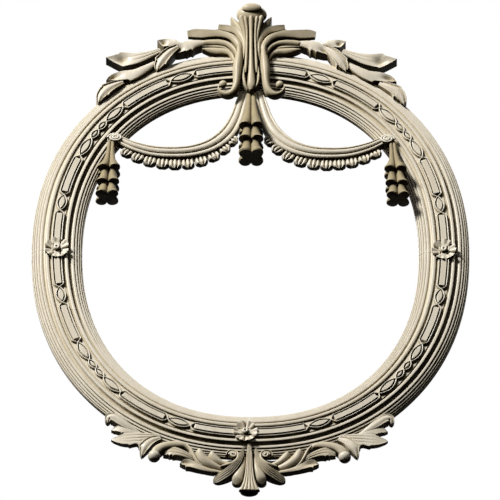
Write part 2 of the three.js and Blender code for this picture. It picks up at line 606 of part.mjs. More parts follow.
// Pleated tabs in a row under the swag, longest in the middle, on a strip behind it.
function fringe() {
  const rows = swagSpots();
  const widest = Math.max(...rows.map(([, , half]) => half));
  const middle = new THREE.CatmullRomCurve3(rows.map(([x, y]) => new THREE.Vector3(x, y, 0)));
  const share = (i) => FRINGE_START + (i / FRINGE_TABS) * (FRINGE_END - FRINGE_START);
  const pitch = (middle.getLength() * (FRINGE_END - FRINGE_START)) / FRINGE_TABS;
  const tabs = Array.from({ length: FRINGE_TABS }, (_, i) => {
    const spot = middle.getPointAt(share(i + 0.5));
    const along = middle.getTangentAt(share(i + 0.5));
    const length = FRINGE_LENGTH * (0.55 + 0.45 * Math.sin((Math.PI * (i + 0.5)) / FRINGE_TABS));
    const at = (reach) => [spot.x + along.y * reach, spot.y - along.x * reach];
    const tab = [[...at(2), 0.46 * pitch, SWAG_BASE], [...at(widest), 0.48 * pitch, SWAG_BASE + 5],
      [...at(widest + length), 0.4 * pitch, SWAG_BASE + 3]];
    return leaf(tab, { perRow: 1 });
  });
  const strip = Array.from({ length: FRINGE_TABS + 1 }, (_, i) => {
    const spot = middle.getPointAt(share(i));
    return [spot.x, spot.y, 5, SWAG_BASE];
  });
  return joined([leaf(strip, { perRow: 1 }), ...tabs]);
}

// Tiers of a tassel, from the top: share of the length, share of the width.
const SIDE_TIERS = [[0, 0.34], [0.16, 0.36], [0.34, 0.5], [0.5, 0.96], [0.535, 0.98], [0.56, 0.78],
  [0.75, 0.92], [0.8, 1], [0.825, 0.8], [0.97, 0.95], [1, 0.8]];
const CENTRE_TIERS = [[0, 0.36], [0.16, 0.42], [0.4, 0.72], [0.6, 0.94], [0.63, 0.98], [0.65, 0.78],
  [0.78, 0.9], [0.81, 1], [0.83, 0.8], [0.97, 0.95], [1, 0.8]];

// Outline of two strands by two, for one quarter of the way round.
const STRANDS = [[0.82, 0], [1, 0.42], [0.88, 0.88], [0.42, 1]];
const STRAND_OUTLINE = [0, 1, 2, 3].flatMap((quarter) => STRANDS.map(([x, z]) => {
  const spot = new THREE.Vector2(x, z).rotateAround(new THREE.Vector2(), (quarter * Math.PI) / 2);
  return [spot.x, spot.y];
}));

function tassel({ x, top, length, width, depth, lean, tiers, backTop, grow }) {
  const sections = tiers.map(([share, size], level) => {
    const end = level === 0 ? grow : level === tiers.length - 1 ? -grow : 0;
    const [halfWidth, halfDepth] = [(size * width) / 2, (size * depth) / 2];
    const seat = Math.min(1, 1.6 * share);
    const middle = THREE.MathUtils.lerp(backTop + halfDepth, TASSEL_BACK + depth / 2, seat);
    return STRAND_OUTLINE.map(([across, forward]) => new THREE.Vector3(
      x + lean * share + across * (halfWidth + grow), top - length * share + end,
      middle + forward * (halfDepth + grow)));
  });
  return solidFrom(loft(sections));
}

const sideTassel = (lean, grow = 0) => tassel({
  x: KNOT_SPOT[0] + lean, top: KNOT_SPOT[1] - KNOT_RADII[1] - FIT, length: TASSEL_LENGTH,
  width: TASSEL_WIDTH, depth: TASSEL_DEPTH, lean, tiers: SIDE_TIERS,
  backTop: KNOT_HEIGHT - KNOT_RADII[2] / 2, grow });

const centreTassel = (grow = 0) => tassel({
  x: 0, top: SIGHT_TOP - 2 * FIT, length: CENTRE_TASSEL_LENGTH, width: CENTRE_TASSEL_WIDTH,
  depth: CENTRE_TASSEL_DEPTH, lean: 0, tiers: CENTRE_TIERS, backTop: 2 * TASSEL_BACK, grow });

// Each planted piece gives way to the moulding and to the pieces planted before it

const mirrorSolid = (solid) => solidFrom(mirrored(geometryFrom(solid)));
const seated = (solid, cutters) => geometryFrom(mainBody(without(solid, [MOULDING_ROOM, ...cutters])));

const palmetteRoom = crestPalmette(FIT);
const voluteRoom = crestVolute(FIT);
const bothVolutes = voluteRoom.add(mirrorSolid(voluteRoom));
const ballRoom = ballDrop(FIT);
const knotRoom = knot(FIT);
const centreRoom = centreTassel(FIT);
const tasselRooms = Object.values(TASSEL_LEANS).map((lean) => sideTassel(lean, FIT));
const seatedTassel = (lean) => seated(sideTassel(lean), [knotRoom]);

const centreOrnaments = {
  crest_palmette: seated(crestPalmette(), cleatPilots),
  base_palmette: seated(basePalmette(), cleatPilots),
  tassel_centre: seated(centreTassel(), [palmetteRoom, bothVolutes]),
};

const rightOrnaments = {
  crest_volute: seated(crestVolute(), [palmetteRoom, ...cleatPilots]),
  crest_spray: seated(crestSpray(), [palmetteRoom, voluteRoom]),
  swag: seated(swag(), [palmetteRoom, voluteRoom, centreRoom, knotRoom]),
  fringe: seated(fringe(), [swag(FIT), knotRoom, centreRoom, ...tasselRooms]),
  knot: seated(knot(), []),
  base_scroll: seated(baseScroll(), [basePalmette(FIT), ballRoom, ...cleatPilots]),
  ball_drop: seated(ballDrop(), []),
  base_spray: seated(baseSpray(), [baseScroll(FIT), ballRoom]),
};

// The whole frame, stood upright with the wall plane at y = 0

const frame = new THREE.Group();
frame.rotation.x = Math.PI / 2;
frame.position.y = WALL_PLANE;

function place(name, geometry, material) {
  const mesh = new THREE.Mesh(geometry, material);
  mesh.name = name;
  frame.add(mesh);
}

const QUADRANTS = { upper_right: 0, upper_left: 90, lower_left: 180, lower_right: 270 };
Object.entries(QUADRANTS).forEach(([name, start]) => {
  place(`moulding_${name}`, mouldingQuadrant(start), carvedWood());
});
Object.entries(BUTTON_ANGLES).forEach(([name, middle]) => {
  place(`back_arc_${name}`, backArc(middle), plainWood());
});
Object.entries(ROSETTE_SPOTS).forEach(([name, spot]) => place(name, rosette(spot), carvedWood()));
Object.entries(centreOrnaments).forEach(([name, geometry]) => place(name, geometry, carvedWood()));
Object.entries(rightOrnaments).forEach(([name, geometry]) => {
  place(`${name}_right`, geometry, carvedWood());
  place(`${name}_left`, mirrored(geometry), carvedWood());
});

place('tassel_right', seatedTassel(TASSEL_LEANS.right), carvedWood());
place('tassel_left', mirrored(seatedTassel(TASSEL_LEANS.left)), carvedWood());

place('crest_cleat', cleat(1), plainWood());
place('base_cleat', cleat(-1), plainWood());
Object.entries(CLEAT_SCREWS).forEach(([name, spots]) => spots.forEach((spot, i) => {
  place(`${name}_cleat_screw_${i + 1}`, screw(spot, BACK_REAR, SCREW_BITE), steel());
}));

Object.entries(BUTTON_ANGLES).forEach(([name, degrees]) => {
  const tip = BACK_REAR + SCREW_BITE;
  place(`turn_button_${name}`, turnButton(degrees), brass());
  place(`turn_button_screw_${name}`, screw(buttonSpot(degrees), BUTTON_REAR, tip), steel());
});

Object.entries({ right: 1, left: -1 }).forEach(([name, side]) => {
  const seat = FITTING_FRONT - STRAP_THICKNESS;
  place(`hanger_strap_${name}`, hangerStrap(side), brass());
  place(`hanger_ring_${name}`, hangerRing(side), brass());
  place(`hanger_screw_${name}`, screw(STRAP_SPOTS[name], seat, BACK_REAR + SCREW_BITE), steel());
  place(`wall_bumper_${name}`, bumper(side), rubber());
});

export default frame;
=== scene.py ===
# %% [markdown]
# # A carved oval picture frame
# The solid model of the frame is loaded first and stays fixed: it says where every piece goes and what
# moves. This lesson then carves a finished piece over each plain solid, and gives every piece a worked
# material.

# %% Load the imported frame
import json
import math

import bpy
import numpy as np
from mathutils import Matrix, Vector
from mathutils.bvhtree import BVHTree


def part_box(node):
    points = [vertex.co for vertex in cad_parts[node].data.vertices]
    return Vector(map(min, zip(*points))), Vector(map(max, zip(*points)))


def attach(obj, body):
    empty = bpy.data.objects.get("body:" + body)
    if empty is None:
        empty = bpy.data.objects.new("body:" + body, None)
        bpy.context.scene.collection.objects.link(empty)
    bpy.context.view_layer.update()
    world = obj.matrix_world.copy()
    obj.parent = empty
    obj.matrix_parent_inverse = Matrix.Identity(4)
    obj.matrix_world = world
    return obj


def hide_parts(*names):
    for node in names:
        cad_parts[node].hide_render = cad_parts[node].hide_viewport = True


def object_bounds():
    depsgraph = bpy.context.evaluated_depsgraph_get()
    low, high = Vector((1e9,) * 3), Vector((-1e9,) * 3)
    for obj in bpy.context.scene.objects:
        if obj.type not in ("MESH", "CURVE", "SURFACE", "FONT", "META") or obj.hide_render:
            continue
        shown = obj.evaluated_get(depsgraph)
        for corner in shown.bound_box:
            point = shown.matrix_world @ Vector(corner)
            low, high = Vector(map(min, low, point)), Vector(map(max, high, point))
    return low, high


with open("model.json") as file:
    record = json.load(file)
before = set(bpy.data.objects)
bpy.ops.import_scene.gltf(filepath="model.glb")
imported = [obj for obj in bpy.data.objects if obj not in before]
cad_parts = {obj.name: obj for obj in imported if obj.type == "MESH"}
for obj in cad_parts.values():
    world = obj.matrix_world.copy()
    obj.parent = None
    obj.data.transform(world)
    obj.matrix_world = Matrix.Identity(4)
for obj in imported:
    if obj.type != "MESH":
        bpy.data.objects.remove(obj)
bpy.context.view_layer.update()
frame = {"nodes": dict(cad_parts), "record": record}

MM = 0.001

# %% [markdown]
# ## The bench
# A carver works with the frame lying on its back: x to the right, y towards the crest, z up from the flat
# back of the moulding. All carving below is written that way, in millimetres, and each finished piece is
# stood upright. The oval is a little squarer than an ellipse. Its sizes are read from the solids, so the
# carving always fits them.

# %% The oval of the moulding
moulding_low, moulding_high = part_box("moulding_upper_right")
HALF_MOULDING = 37.5
OVAL_POWER = 2.18
CROWN_X = moulding_high.x / MM - HALF_MOULDING
CROWN_Y = moulding_high.z / MM - HALF_MOULDING
CROWN_Z = (moulding_high.y - moulding_low.y) / MM
SIGHT_TOP = CROWN_Y - HALF_MOULDING
RIM_TOP = CROWN_Y + HALF_MOULDING
BENCH_IN_ROOM = moulding_high.y


def on_oval(degrees, out=0.0):
    """Spots on the crown line of the moulding, moved outwards by so many millimetres."""
    turn = np.radians(np.asarray(degrees, float))
    cos, sin = np.cos(turn), np.sin(turn)
    x = CROWN_X * np.sign(cos) * np.abs(cos) ** (2 / OVAL_POWER)
    y = CROWN_Y * np.sign(sin) * np.abs(sin) ** (2 / OVAL_POWER)
    slope_x = np.sign(x) * np.abs(x / CROWN_X) ** (OVAL_POWER - 1) / CROWN_X
    slope_y = np.sign(y) * np.abs(y / CROWN_Y) ** (OVAL_POWER - 1) / CROWN_Y
    length = np.hypot(slope_x, slope_y)
    return x + out * slope_x / length, y + out * slope_y / length


print("Crown of the moulding, mm:", round(CROWN_X, 1), round(CROWN_Y, 1), round(CROWN_Z, 1))

# %% [markdown]
# ## The camera
# The frame was seen square on from well below, so every underside shows. The picture has almost no
# perspective. An orthographic camera could give that, and a very long lens far away gives the little that
# is left. A spot of the picture can be turned back into a spot on the bench when its height is known, and
# the leaves below are traced that way.

# %% Place the camera
PIXEL = 1.478
PICTURE = 500
MIDDLE = (250.445, 258.3)
VIEW_SIN, VIEW_COS = 0.6, 0.8
ROLL = math.radians(0.3)
LENS, SENSOR = 1700, 36
NEAREST, FARTHEST = 1, 100
LIFT = 0.9  # in pixels: shares what perspective is left between crest and base

bench_middle = Vector((0, BENCH_IN_ROOM, 0))
level_right = Vector((1, 0, 0))
level_up = Vector((0, -VIEW_SIN, VIEW_COS))
picture_right = level_right * math.cos(ROLL) + level_up * math.sin(ROLL)
picture_up = level_up * math.cos(ROLL) - level_right * math.sin(ROLL)
backwards = picture_right.cross(picture_up)
aim = bench_middle + PIXEL * MM * (
    picture_right * (PICTURE / 2 - MIDDLE[0]) + picture_up * (MIDDLE[1] - PICTURE / 2 - LIFT))
distance = PICTURE * PIXEL * MM * LENS / SENSOR
turned = Matrix((picture_right, picture_up, backwards)).transposed()

bpy.ops.object.select_all(action="DESELECT")
bpy.ops.object.camera_add(location=aim + backwards * distance, rotation=turned.to_euler())
camera = bpy.context.object
camera.name = "camera"
camera.data.lens = LENS
camera.data.sensor_width = SENSOR
camera.data.clip_start, camera.data.clip_end = NEAREST, FARTHEST
camera.data.dof.use_dof = False
bpy.context.scene.camera = camera
bpy.context.scene.view_settings.view_transform = "Standard"
print("Camera distance, m:", round(distance, 2))

# %% [markdown]
# ## Light
# The undersides of the real carving are almost black and the light comes from the upper left. Many lamps
# could light it evenly, but then its folds would be lost, so one soft key light stands there. The world
# adds a little warm light from above and almost none from below, and is white only where it is seen
# directly or in a reflection, so that the background is white without lighting the carving.

# %% World and lamps
GLOW_COLOUR, GLOW_FROM, GLOW_STRENGTH = (1.0, 0.9, 0.72, 1), -0.2, 0.09
world = bpy.data.worlds.new("studio")
bpy.context.scene.world = world
world.use_nodes = True
sky = world.node_tree
sky.nodes.clear()


def node(tree, kind, **values):
    """Add a node and set its inputs by name."""
    made = tree.nodes.new(kind)
    for name, value in values.items():
        made.inputs[name.replace("_", " ")].default_value = value
    return made


def maths(tree, operation, first, second=0.0):
    """One arithmetic step; each argument is a socket or a number."""
    made = tree.nodes.new("ShaderNodeMath")
    made.operation = operation
    for slot, value in enumerate((first, second)):
        if isinstance(value, bpy.types.NodeSocket):
            tree.links.new(value, made.inputs[slot])
        else:
            made.inputs[slot].default_value = value
    return made.outputs[0]


sky_out = node(sky, "ShaderNodeOutputWorld")
seen = node(sky, "ShaderNodeBackground", Color=(1, 1, 1, 1), Strength=1.0)
glow = node(sky, "ShaderNodeBackground", Color=GLOW_COLOUR)
choose = node(sky, "ShaderNodeMixShader")
ray = node(sky, "ShaderNodeLightPath").outputs
where = node(sky, "ShaderNodeTexCoord")
split = node(sky, "ShaderNodeSeparateXYZ")
height = node(sky, "ShaderNodeMapRange", From_Min=GLOW_FROM, From_Max=1.0, To_Min=0.0, To_Max=GLOW_STRENGTH)
direct = maths(sky, "MAXIMUM", ray["Is Camera Ray"], ray["Is Glossy Ray"])
direct = maths(sky, "MAXIMUM", direct, ray["Is Transmission Ray"])
for source, target in (
        (where.outputs["Generated"], split.inputs[0]), (split.outputs["Z"], height.inputs["Value"]),
        (height.outputs[0], glow.inputs["Strength"]), (direct, choose.inputs[0]),
        (glow.outputs[0], choose.inputs[1]), (seen.outputs[0], choose.inputs[2]),
        (choose.outputs[0], sky_out.inputs["Surface"])):
    sky.links.new(source, target)


def lamp(name, place, size, power):
    """A square soft light that looks at the middle of the frame."""
    facing = (-Vector(place)).to_track_quat("-Z", "Y").to_euler()
    bpy.ops.object.light_add(type="AREA", location=place, rotation=facing)
    light = bpy.context.object
    light.name = name
    light.data.size = size
    light.data.energy = power


lamp("key_light", (-3.8, -4.2, 4.0), size=1.2, power=800)
lamp("front_fill", (0.9, -3.0, 1.6), size=1.6, power=4)
lamp("back_fill", (0.5, 2.6, 1.5), size=2.0, power=60)

# %% [markdown]
# ## Materials
# The carving is pale and chalky, with painted shade in its hollows, undersides and shadows, and ridges
# rubbed light as wear and as a painted highlight. It could be painted on an image, but nodes stay sharp
# from near by and suit every piece. Three effects are shared by several materials, so each is a node group:
# painted shade with dirt and rubbing, wood figure, and small scuffs. The shade reads how hollow and how
# shaded the surface is at each point, which is measured on the finished carving further down, and warms
# the colour under it where it is thin. The same group lays dust on the back wood and tarnish on the metal,
# in their hollows.

# %% A group for painted shade and dirt in the hollows, and rubbed ridges with a painted highlight
def new_group(name, ins, outs):
    """A shader group with named sockets, and its input and output nodes."""
    group = bpy.data.node_groups.new(name, "ShaderNodeTree")
    for title, kind in ins:
        group.interface.new_socket(name=title, in_out="INPUT", socket_type=kind)
    for title, kind in outs:
        group.interface.new_socket(name=title, in_out="OUTPUT", socket_type=kind)
    return group, group.nodes.new("NodeGroupInput"), group.nodes.new("NodeGroupOutput")


def colour_mix(tree, amount, low, high, blend="MIX"):
    """Mix two colours; each argument is a socket or a plain value."""
    mix = tree.nodes.new("ShaderNodeMix")
    mix.data_type = "RGBA"
    mix.blend_type = blend
    for slot, value in ((0, amount), (6, low), (7, high)):
        if isinstance(value, bpy.types.NodeSocket):
            tree.links.new(value, mix.inputs[slot])
        else:
            mix.inputs[slot].default_value = value
    return mix.outputs[2]


COLOUR, NUMBER = "NodeSocketColor", "NodeSocketFloat"
WARMING, WARM_TINT = 2.5, (1.0, 0.91, 0.68, 1)
PATCH_GAIN, PATCH_LEAST = 0.6, 0.75
shade_and_dirt_group, shade_and_dirt_in, shade_and_dirt_out = new_group(
    "painted_shade_dirt_and_rub_highlight",
    [("Colour", COLOUR), ("Glaze", COLOUR), ("Rubbed", COLOUR), ("Glaze Amount", NUMBER),
     ("Rub Amount", NUMBER)],
    [("Colour", COLOUR), ("ShadeAndDirt", NUMBER)])
# The hollow attribute is painted shade on the carving, and dust or tarnish in the hollows of plain pieces.
shade_and_dirt_read, rub_highlight_read = (shade_and_dirt_group.nodes.new("ShaderNodeAttribute") for _ in range(2))
shade_and_dirt_read.attribute_name = "hollow"
rub_highlight_read.attribute_name = "ridge"
place = shade_and_dirt_group.nodes.new("ShaderNodeTexCoord")
patches = node(shade_and_dirt_group, "ShaderNodeTexNoise", Scale=42.0, Detail=4.0, Roughness=0.6)
shade_and_dirt_group.links.new(place.outputs["Object"], patches.inputs["Vector"])
uneven = maths(shade_and_dirt_group, "MULTIPLY", patches.outputs["Fac"], PATCH_GAIN)
uneven = maths(shade_and_dirt_group, "ADD", uneven, PATCH_LEAST)
shade_and_dirt_share = maths(shade_and_dirt_group, "MULTIPLY", shade_and_dirt_read.outputs["Fac"], uneven)
shade_and_dirt_mask = maths(shade_and_dirt_group, "MULTIPLY", shade_and_dirt_share, shade_and_dirt_in.outputs["Glaze Amount"])
# Ridges are painted light: rubbed wear, and on the carving also a painted highlight.
rub_highlight_mask = maths(shade_and_dirt_group, "MULTIPLY", rub_highlight_read.outputs["Fac"], uneven)
rub_highlight_mask = maths(shade_and_dirt_group, "MULTIPLY", rub_highlight_mask, shade_and_dirt_in.outputs["Rub Amount"])
rub_highlighted = colour_mix(shade_and_dirt_group, rub_highlight_mask, shade_and_dirt_in.outputs["Colour"], shade_and_dirt_in.outputs["Rubbed"])
# Where the darkening is thin, painted shade on the carving and dust and tarnish elsewhere, the colour is
# warmed.
warm_mask = maths(shade_and_dirt_group, "MULTIPLY", shade_and_dirt_mask, WARMING)
warmed = colour_mix(shade_and_dirt_group, warm_mask, rub_highlighted, WARM_TINT, "MULTIPLY")
darkened = colour_mix(shade_and_dirt_group, shade_and_dirt_mask, warmed, shade_and_dirt_in.outputs["Glaze"])
shade_and_dirt_group.links.new(darkened, shade_and_dirt_out.inputs["Colour"])
shade_and_dirt_group.links.new(shade_and_dirt_share, shade_and_dirt_out.inputs["ShadeAndDirt"])
print("Group:", shade_and_dirt_group.name)

# %% A group for the figure of the wood
figure_group, figure_in, figure_out = new_group(
    "wood_figure", [("Pores", NUMBER), ("Rings", NUMBER)], [("Streaks", NUMBER), ("Pores", NUMBER)])
place = figure_group.nodes.new("ShaderNodeTexCoord")
stretch = node(figure_group, "ShaderNodeMapping", Scale=(1.0, 1.0, 0.09), Rotation=(0, 0.05, 0))
figure_group.links.new(place.outputs["Object"], stretch.inputs["Vector"])
rings = node(figure_group, "ShaderNodeTexNoise", Detail=5.0, Roughness=0.55, Distortion=0.6)
pores = node(figure_group, "ShaderNodeTexNoise", Detail=2.0, Roughness=0.5)
for texture, scale in ((rings, "Rings"), (pores, "Pores")):
    figure_group.links.new(stretch.outputs[0], texture.inputs["Vector"])
    figure_group.links.new(figure_in.outputs[scale], texture.inputs["Scale"])
figure_group.links.new(rings.outputs["Fac"], figure_out.inputs["Streaks"])
figure_group.links.new(pores.outputs["Fac"], figure_out.inputs["Pores"])
print("Group:", figure_group.name)

# %% A group for small scuffs and dullness on metal and rubber
scuff_group, scuff_in, scuff_out = new_group(
    "small_scuffs", [("Scale", NUMBER)], [("Scuffs", NUMBER), ("Cloud", NUMBER)])
place = scuff_group.nodes.new("ShaderNodeTexCoord")
lines = node(scuff_group, "ShaderNodeTexNoise", Detail=3.0, Roughness=0.7, Distortion=2.0)
cloud = node(scuff_group, "ShaderNodeTexNoise", Scale=160.0, Detail=3.0)
for texture in (lines, cloud):
    scuff_group.links.new(place.outputs["Object"], texture.inputs["Vector"])
scuff_group.links.new(scuff_in.outputs["Scale"], lines.inputs["Scale"])
scuff_group.links.new(lines.outputs["Fac"], scuff_out.inputs["Scuffs"])
scuff_group.links.new(cloud.outputs["Fac"], scuff_out.inputs["Cloud"])
print("Group:", scuff_group.name)

# %% The carved and glazed wood
NOISE_LOW, NOISE_HIGH = 0.3, 0.7
IVORY_DARK, IVORY_LIGHT = (0.60, 0.535, 0.415, 1), (0.69, 0.63, 0.515, 1)
# The rubbed colour is painted on ridges as wear and as a painted highlight.
IVORY_PORE, IVORY_RUB_HIGHLIGHT = (0.36, 0.29, 0.19, 1), (0.9, 0.86, 0.75, 1)
# The near-black colour is painted shade; the sheen is the weight of a clear coat.
PAINTED_SHADE, SHEEN = (0.014, 0.010, 0.005, 1), 0.4


def new_material(name, **values):
    """A material with one Principled shader, and its node tree."""
    material = bpy.data.materials.new(name)
    material.use_nodes = True
    shader = material.node_tree.nodes["Principled BSDF"]
    for title, value in values.items():
        shader.inputs[title.replace("_", " ")].default_value = value
    return material, material.node_tree, shader


def placed(tree, group, **values):
    """A shared group put into a material with its own values."""
    made = tree.nodes.new("ShaderNodeGroup")
    made.node_tree = group
    for title, value in values.items():
        made.inputs[title.replace("_", " ")].default_value = value
    return made


def ranged(tree, value, low, high):
    """Spread a noise value, which stays near one half, over a range."""
    made = node(tree, "ShaderNodeMapRange", From_Min=NOISE_LOW, From_Max=NOISE_HIGH, To_Min=low, To_Max=high)
    tree.links.new(value, made.inputs["Value"])
    return made.outputs[0]


def bumped(tree, shader, value, strength, depth):
    """Let a value raise the surface by a small depth."""
    bump = node(tree, "ShaderNodeBump", Strength=strength, Distance=depth)
    tree.links.new(value, bump.inputs["Height"])
    tree.links.new(bump.outputs[0], shader.inputs["Normal"])


carved_wood, tree, shader = new_material("carved_ivory_wood", Specular_IOR_Level=0.02, Coat_Roughness=0.32)
figure = placed(tree, figure_group, Pores=900.0, Rings=70.0)
ivory = colour_mix(tree, ranged(tree, figure.outputs["Streaks"], 0.0, 1.0), IVORY_DARK, IVORY_LIGHT)
pored = colour_mix(tree, ranged(tree, figure.outputs["Pores"], 0.0, 0.12), ivory, IVORY_PORE)
# Painted shade in hollows, undersides and shadows, and a painted highlight on the rubbed ridges.
darkening = placed(tree, shade_and_dirt_group, Glaze=PAINTED_SHADE, Rubbed=IVORY_RUB_HIGHLIGHT, Glaze_Amount=1.0, Rub_Amount=0.8)
tree.links.new(pored, darkening.inputs["Colour"])
tree.links.new(darkening.outputs["Colour"], shader.inputs["Base Color"])
tree.links.new(ranged(tree, figure.outputs["Pores"], 0.42, 0.6), shader.inputs["Roughness"])
sheen = maths(tree, "MULTIPLY", maths(tree, "SUBTRACT", 1.0, darkening.outputs["ShadeAndDirt"]), SHEEN)
tree.links.new(sheen, shader.inputs["Coat Weight"])
bumped(tree, shader, figure.outputs["Pores"], strength=0.25, depth=0.0004)
print("Material:", carved_wood.name)

# %% The plain wood of the back
BOARD_DARK, BOARD_LIGHT = (0.33, 0.20, 0.10, 1), (0.56, 0.39, 0.22, 1)
BOARD_PORE, BOARD_RUBBED, BOARD_DUST = (0.19, 0.11, 0.055, 1), (0.66, 0.5, 0.32, 1), (0.09, 0.055, 0.03, 1)
back_wood, tree, shader = new_material("plain_back_wood")
figure = placed(tree, figure_group, Pores=700.0, Rings=46.0)
board = colour_mix(tree, ranged(tree, figure.outputs["Streaks"], 0.0, 1.0), BOARD_DARK, BOARD_LIGHT)
pored = colour_mix(tree, ranged(tree, figure.outputs["Pores"], 0.0, 0.45), board, BOARD_PORE)
darkening = placed(tree, shade_and_dirt_group, Glaze=BOARD_DUST, Rubbed=BOARD_RUBBED, Glaze_Amount=0.8, Rub_Amount=0.7)
tree.links.new(pored, darkening.inputs["Colour"])
tree.links.new(darkening.outputs["Colour"], shader.inputs["Base Color"])
tree.links.new(ranged(tree, figure.outputs["Pores"], 0.62, 0.82), shader.inputs["Roughness"])
bumped(tree, shader, figure.outputs["Pores"], strength=0.4, depth=0.0006)
print("Material:", back_wood.name)

# %% Steel, brass and rubber
TARNISH = (0.02, 0.016, 0.012, 1)
SMOOTHER, ROUGHER = 0.1, 0.15
RUBBER_DARK, RUBBER_LIGHT = (0.05, 0.05, 0.05, 1), (0.11, 0.11, 0.105, 1)


def metal(name, dark, light, rough, scale):
    """A dulled metal whose colour and gloss change in clouds and scuffs."""
    material, tree, shader = new_material(name, Metallic=1.0)
    scuffs = placed(tree, scuff_group, Scale=scale)
    tone = colour_mix(tree, ranged(tree, scuffs.outputs["Cloud"], 0.0, 1.0), dark, light)
    darkening = placed(tree, shade_and_dirt_group, Glaze=TARNISH, Rubbed=light, Glaze_Amount=0.8, Rub_Amount=0.6)
    tree.links.new(tone, darkening.inputs["Colour"])
    tree.links.new(darkening.outputs["Colour"], shader.inputs["Base Color"])
    dullness = ranged(tree, scuffs.outputs["Scuffs"], rough - SMOOTHER, rough + ROUGHER)
    tree.links.new(dullness, shader.inputs["Roughness"])
    bumped(tree, shader, scuffs.outputs["Scuffs"], strength=0.15, depth=0.0002)
    return material


steel = metal("dull_steel", (0.36, 0.35, 0.34, 1), (0.62, 0.61, 0.6, 1), rough=0.38, scale=700.0)
brass = metal("old_brass", (0.38, 0.25, 0.09, 1), (0.71, 0.52, 0.24, 1), rough=0.36, scale=500.0)
rubber, tree, shader = new_material("grey_rubber")
scuffs = placed(tree, scuff_group, Scale=420.0)
tone = colour_mix(tree, ranged(tree, scuffs.outputs["Cloud"], 0, 1), RUBBER_DARK, RUBBER_LIGHT)
tree.links.new(tone, shader.inputs["Base Color"])
tree.links.new(ranged(tree, scuffs.outputs["Scuffs"], 0.65, 0.85), shader.inputs["Roughness"])
bumped(tree, shader, scuffs.outputs["Scuffs"], strength=0.3, depth=0.0003)
FINISHES = {
    "carved_wood": carved_wood, "back_wood": back_wood, "steel": steel, "brass": brass, "rubber": rubber}
print("Finishes:", sorted(FINISHES))

# %% [markdown]
# ## Carving tools
# A carved leaf is a strip of wood with a shaped top, upright edges and a flat back. It could be sculpted,
# but a grid that is bent along a few rows is quicker and cleaner: the grid is added, its points
# are moved to the leaf's surface, its border is extruded, flattened onto the back and closed.

# %% A smooth line through given rows
def smooth_line(rows, shares):
    """Points on a smooth curve through the rows, at shares from 0 to 1."""
    rows = np.asarray(rows, float)
    spans = len(rows) - 1
    padded = np.vstack([2 * rows[0] - rows[1], rows, 2 * rows[-1] - rows[-2]])
    where = np.asarray(shares) * spans
    first = np.minimum(where.astype(int), spans - 1)
    f = (where - first)[:, None]
    a, b, c, d = (padded[first + k] for k in range(4))
    return 0.5 * (2 * b + (c - a) * f + (2 * a - 5 * b + 4 * c - d) * f**2 + (3 * b - a - 3 * c + d) * f**3)


def traced(rows, shift=0.0):
    """Rows of (x, y, half width, height), with x and y in the picture, as rows with x and y on the bench."""
    rows = np.array(rows, float)
    right, down = rows[:, 0] - MIDDLE[0], rows[:, 1] - MIDDLE[1]
    across = right * math.cos(ROLL) + down * math.sin(ROLL)
    rise = right * math.sin(ROLL) - down * math.cos(ROLL)
    rows[:, 0] = (across - shift) * PIXEL
    rows[:, 1] = (rise * PIXEL - VIEW_SIN * rows[:, 3]) / VIEW_COS
    return rows


print("Middle of the picture, on the bench:", traced([(*MIDDLE, 0, 0)])[0, :2])

# %% Close a shaped grid into a carving with a flat back
SAME_SPOT = 0.000005


def pick_all():
    """Select every point of the mesh that is being edited."""
    bpy.ops.mesh.select_all(action="SELECT")


def pick_none():
    """Select no point of the mesh that is being edited."""
    bpy.ops.mesh.select_all(action="DESELECT")


def merge_doubles():
    """Make one point of points that lie on the same spot."""
    bpy.ops.mesh.remove_doubles(threshold=SAME_SPOT)


def face_outwards():
    """Turn the selected faces outwards."""
    bpy.ops.mesh.normals_make_consistent(inside=False)


def deselect():
    """Select no object."""
    bpy.ops.object.select_all(action="DESELECT")


def edit(*steps):
    """Run steps in edit mode on the active piece."""
    bpy.ops.object.mode_set(mode="EDIT")
    for step in steps:
        step()
    bpy.ops.object.mode_set(mode="OBJECT")


def bent_grid(points):
    """Add a grid and move its points to (rows, columns, 3) in mm."""
    rows, columns = points.shape[:2]
    deselect()
    bpy.ops.mesh.primitive_grid_add(x_subdivisions=columns - 1, y_subdivisions=rows - 1, size=1)
    made = bpy.context.object
    made.data.vertices.foreach_set("co", (points * MM).astype(np.float32).ravel())
    made.data.update()
    edit(pick_all, merge_doubles)
    return made


def shell(points, base):
    """A bent grid whose border is dropped to the height of the base and closed there."""
    made = bent_grid(points)
    edit(
        lambda: bpy.ops.mesh.select_mode(type="EDGE"),
        pick_none, bpy.ops.mesh.select_non_manifold, bpy.ops.mesh.extrude_edges_move,
        lambda: bpy.ops.transform.resize(value=(1, 1, 0), center_override=(0, 0, base * MM)),
        bpy.ops.mesh.edge_face_add, pick_all, face_outwards)
    return made


print("Points of a grid are merged within", round(SAME_SPOT / MM, 4), "mm")

# %% Sections of a leaf, as shares of its height from one edge at -1 to the other at 1
BULGE = 0.99
FLAT_LOW, FLAT_RISE = 0.88, 0.12
CUP_LOW, CUP_RISE, CUP_POWER = 0.9, 0.1, 5
RIDGE_POWER = 0.9
BELLY_LOW, BELLY_RISE, BELLY_WIDTH = 0.85, 0.14, 0.5
LIP_LOW, LIP_RISE, LIP_AT, LIP_WIDTH = 0.84, 0.15, 0.88, 0.18
RIB_LOW, RIB_RISE, RIB_BULGE, RIB_POWER = 0.8, 0.2, 0.9, 0.6


def domed(edge):
    """A round top over edges of a share of the height."""
    return lambda u: edge + (1 - edge) * np.sqrt(1 - BULGE * u * u)


crowned, cushioned = domed(0.4), domed(0.74)


def flattened(u):
    """Almost flat."""
    return FLAT_LOW + FLAT_RISE * (1 - u * u)


def hollowed(u):
    """Flat, with edges that turn up."""
    return CUP_LOW + CUP_RISE * np.abs(u) ** CUP_POWER


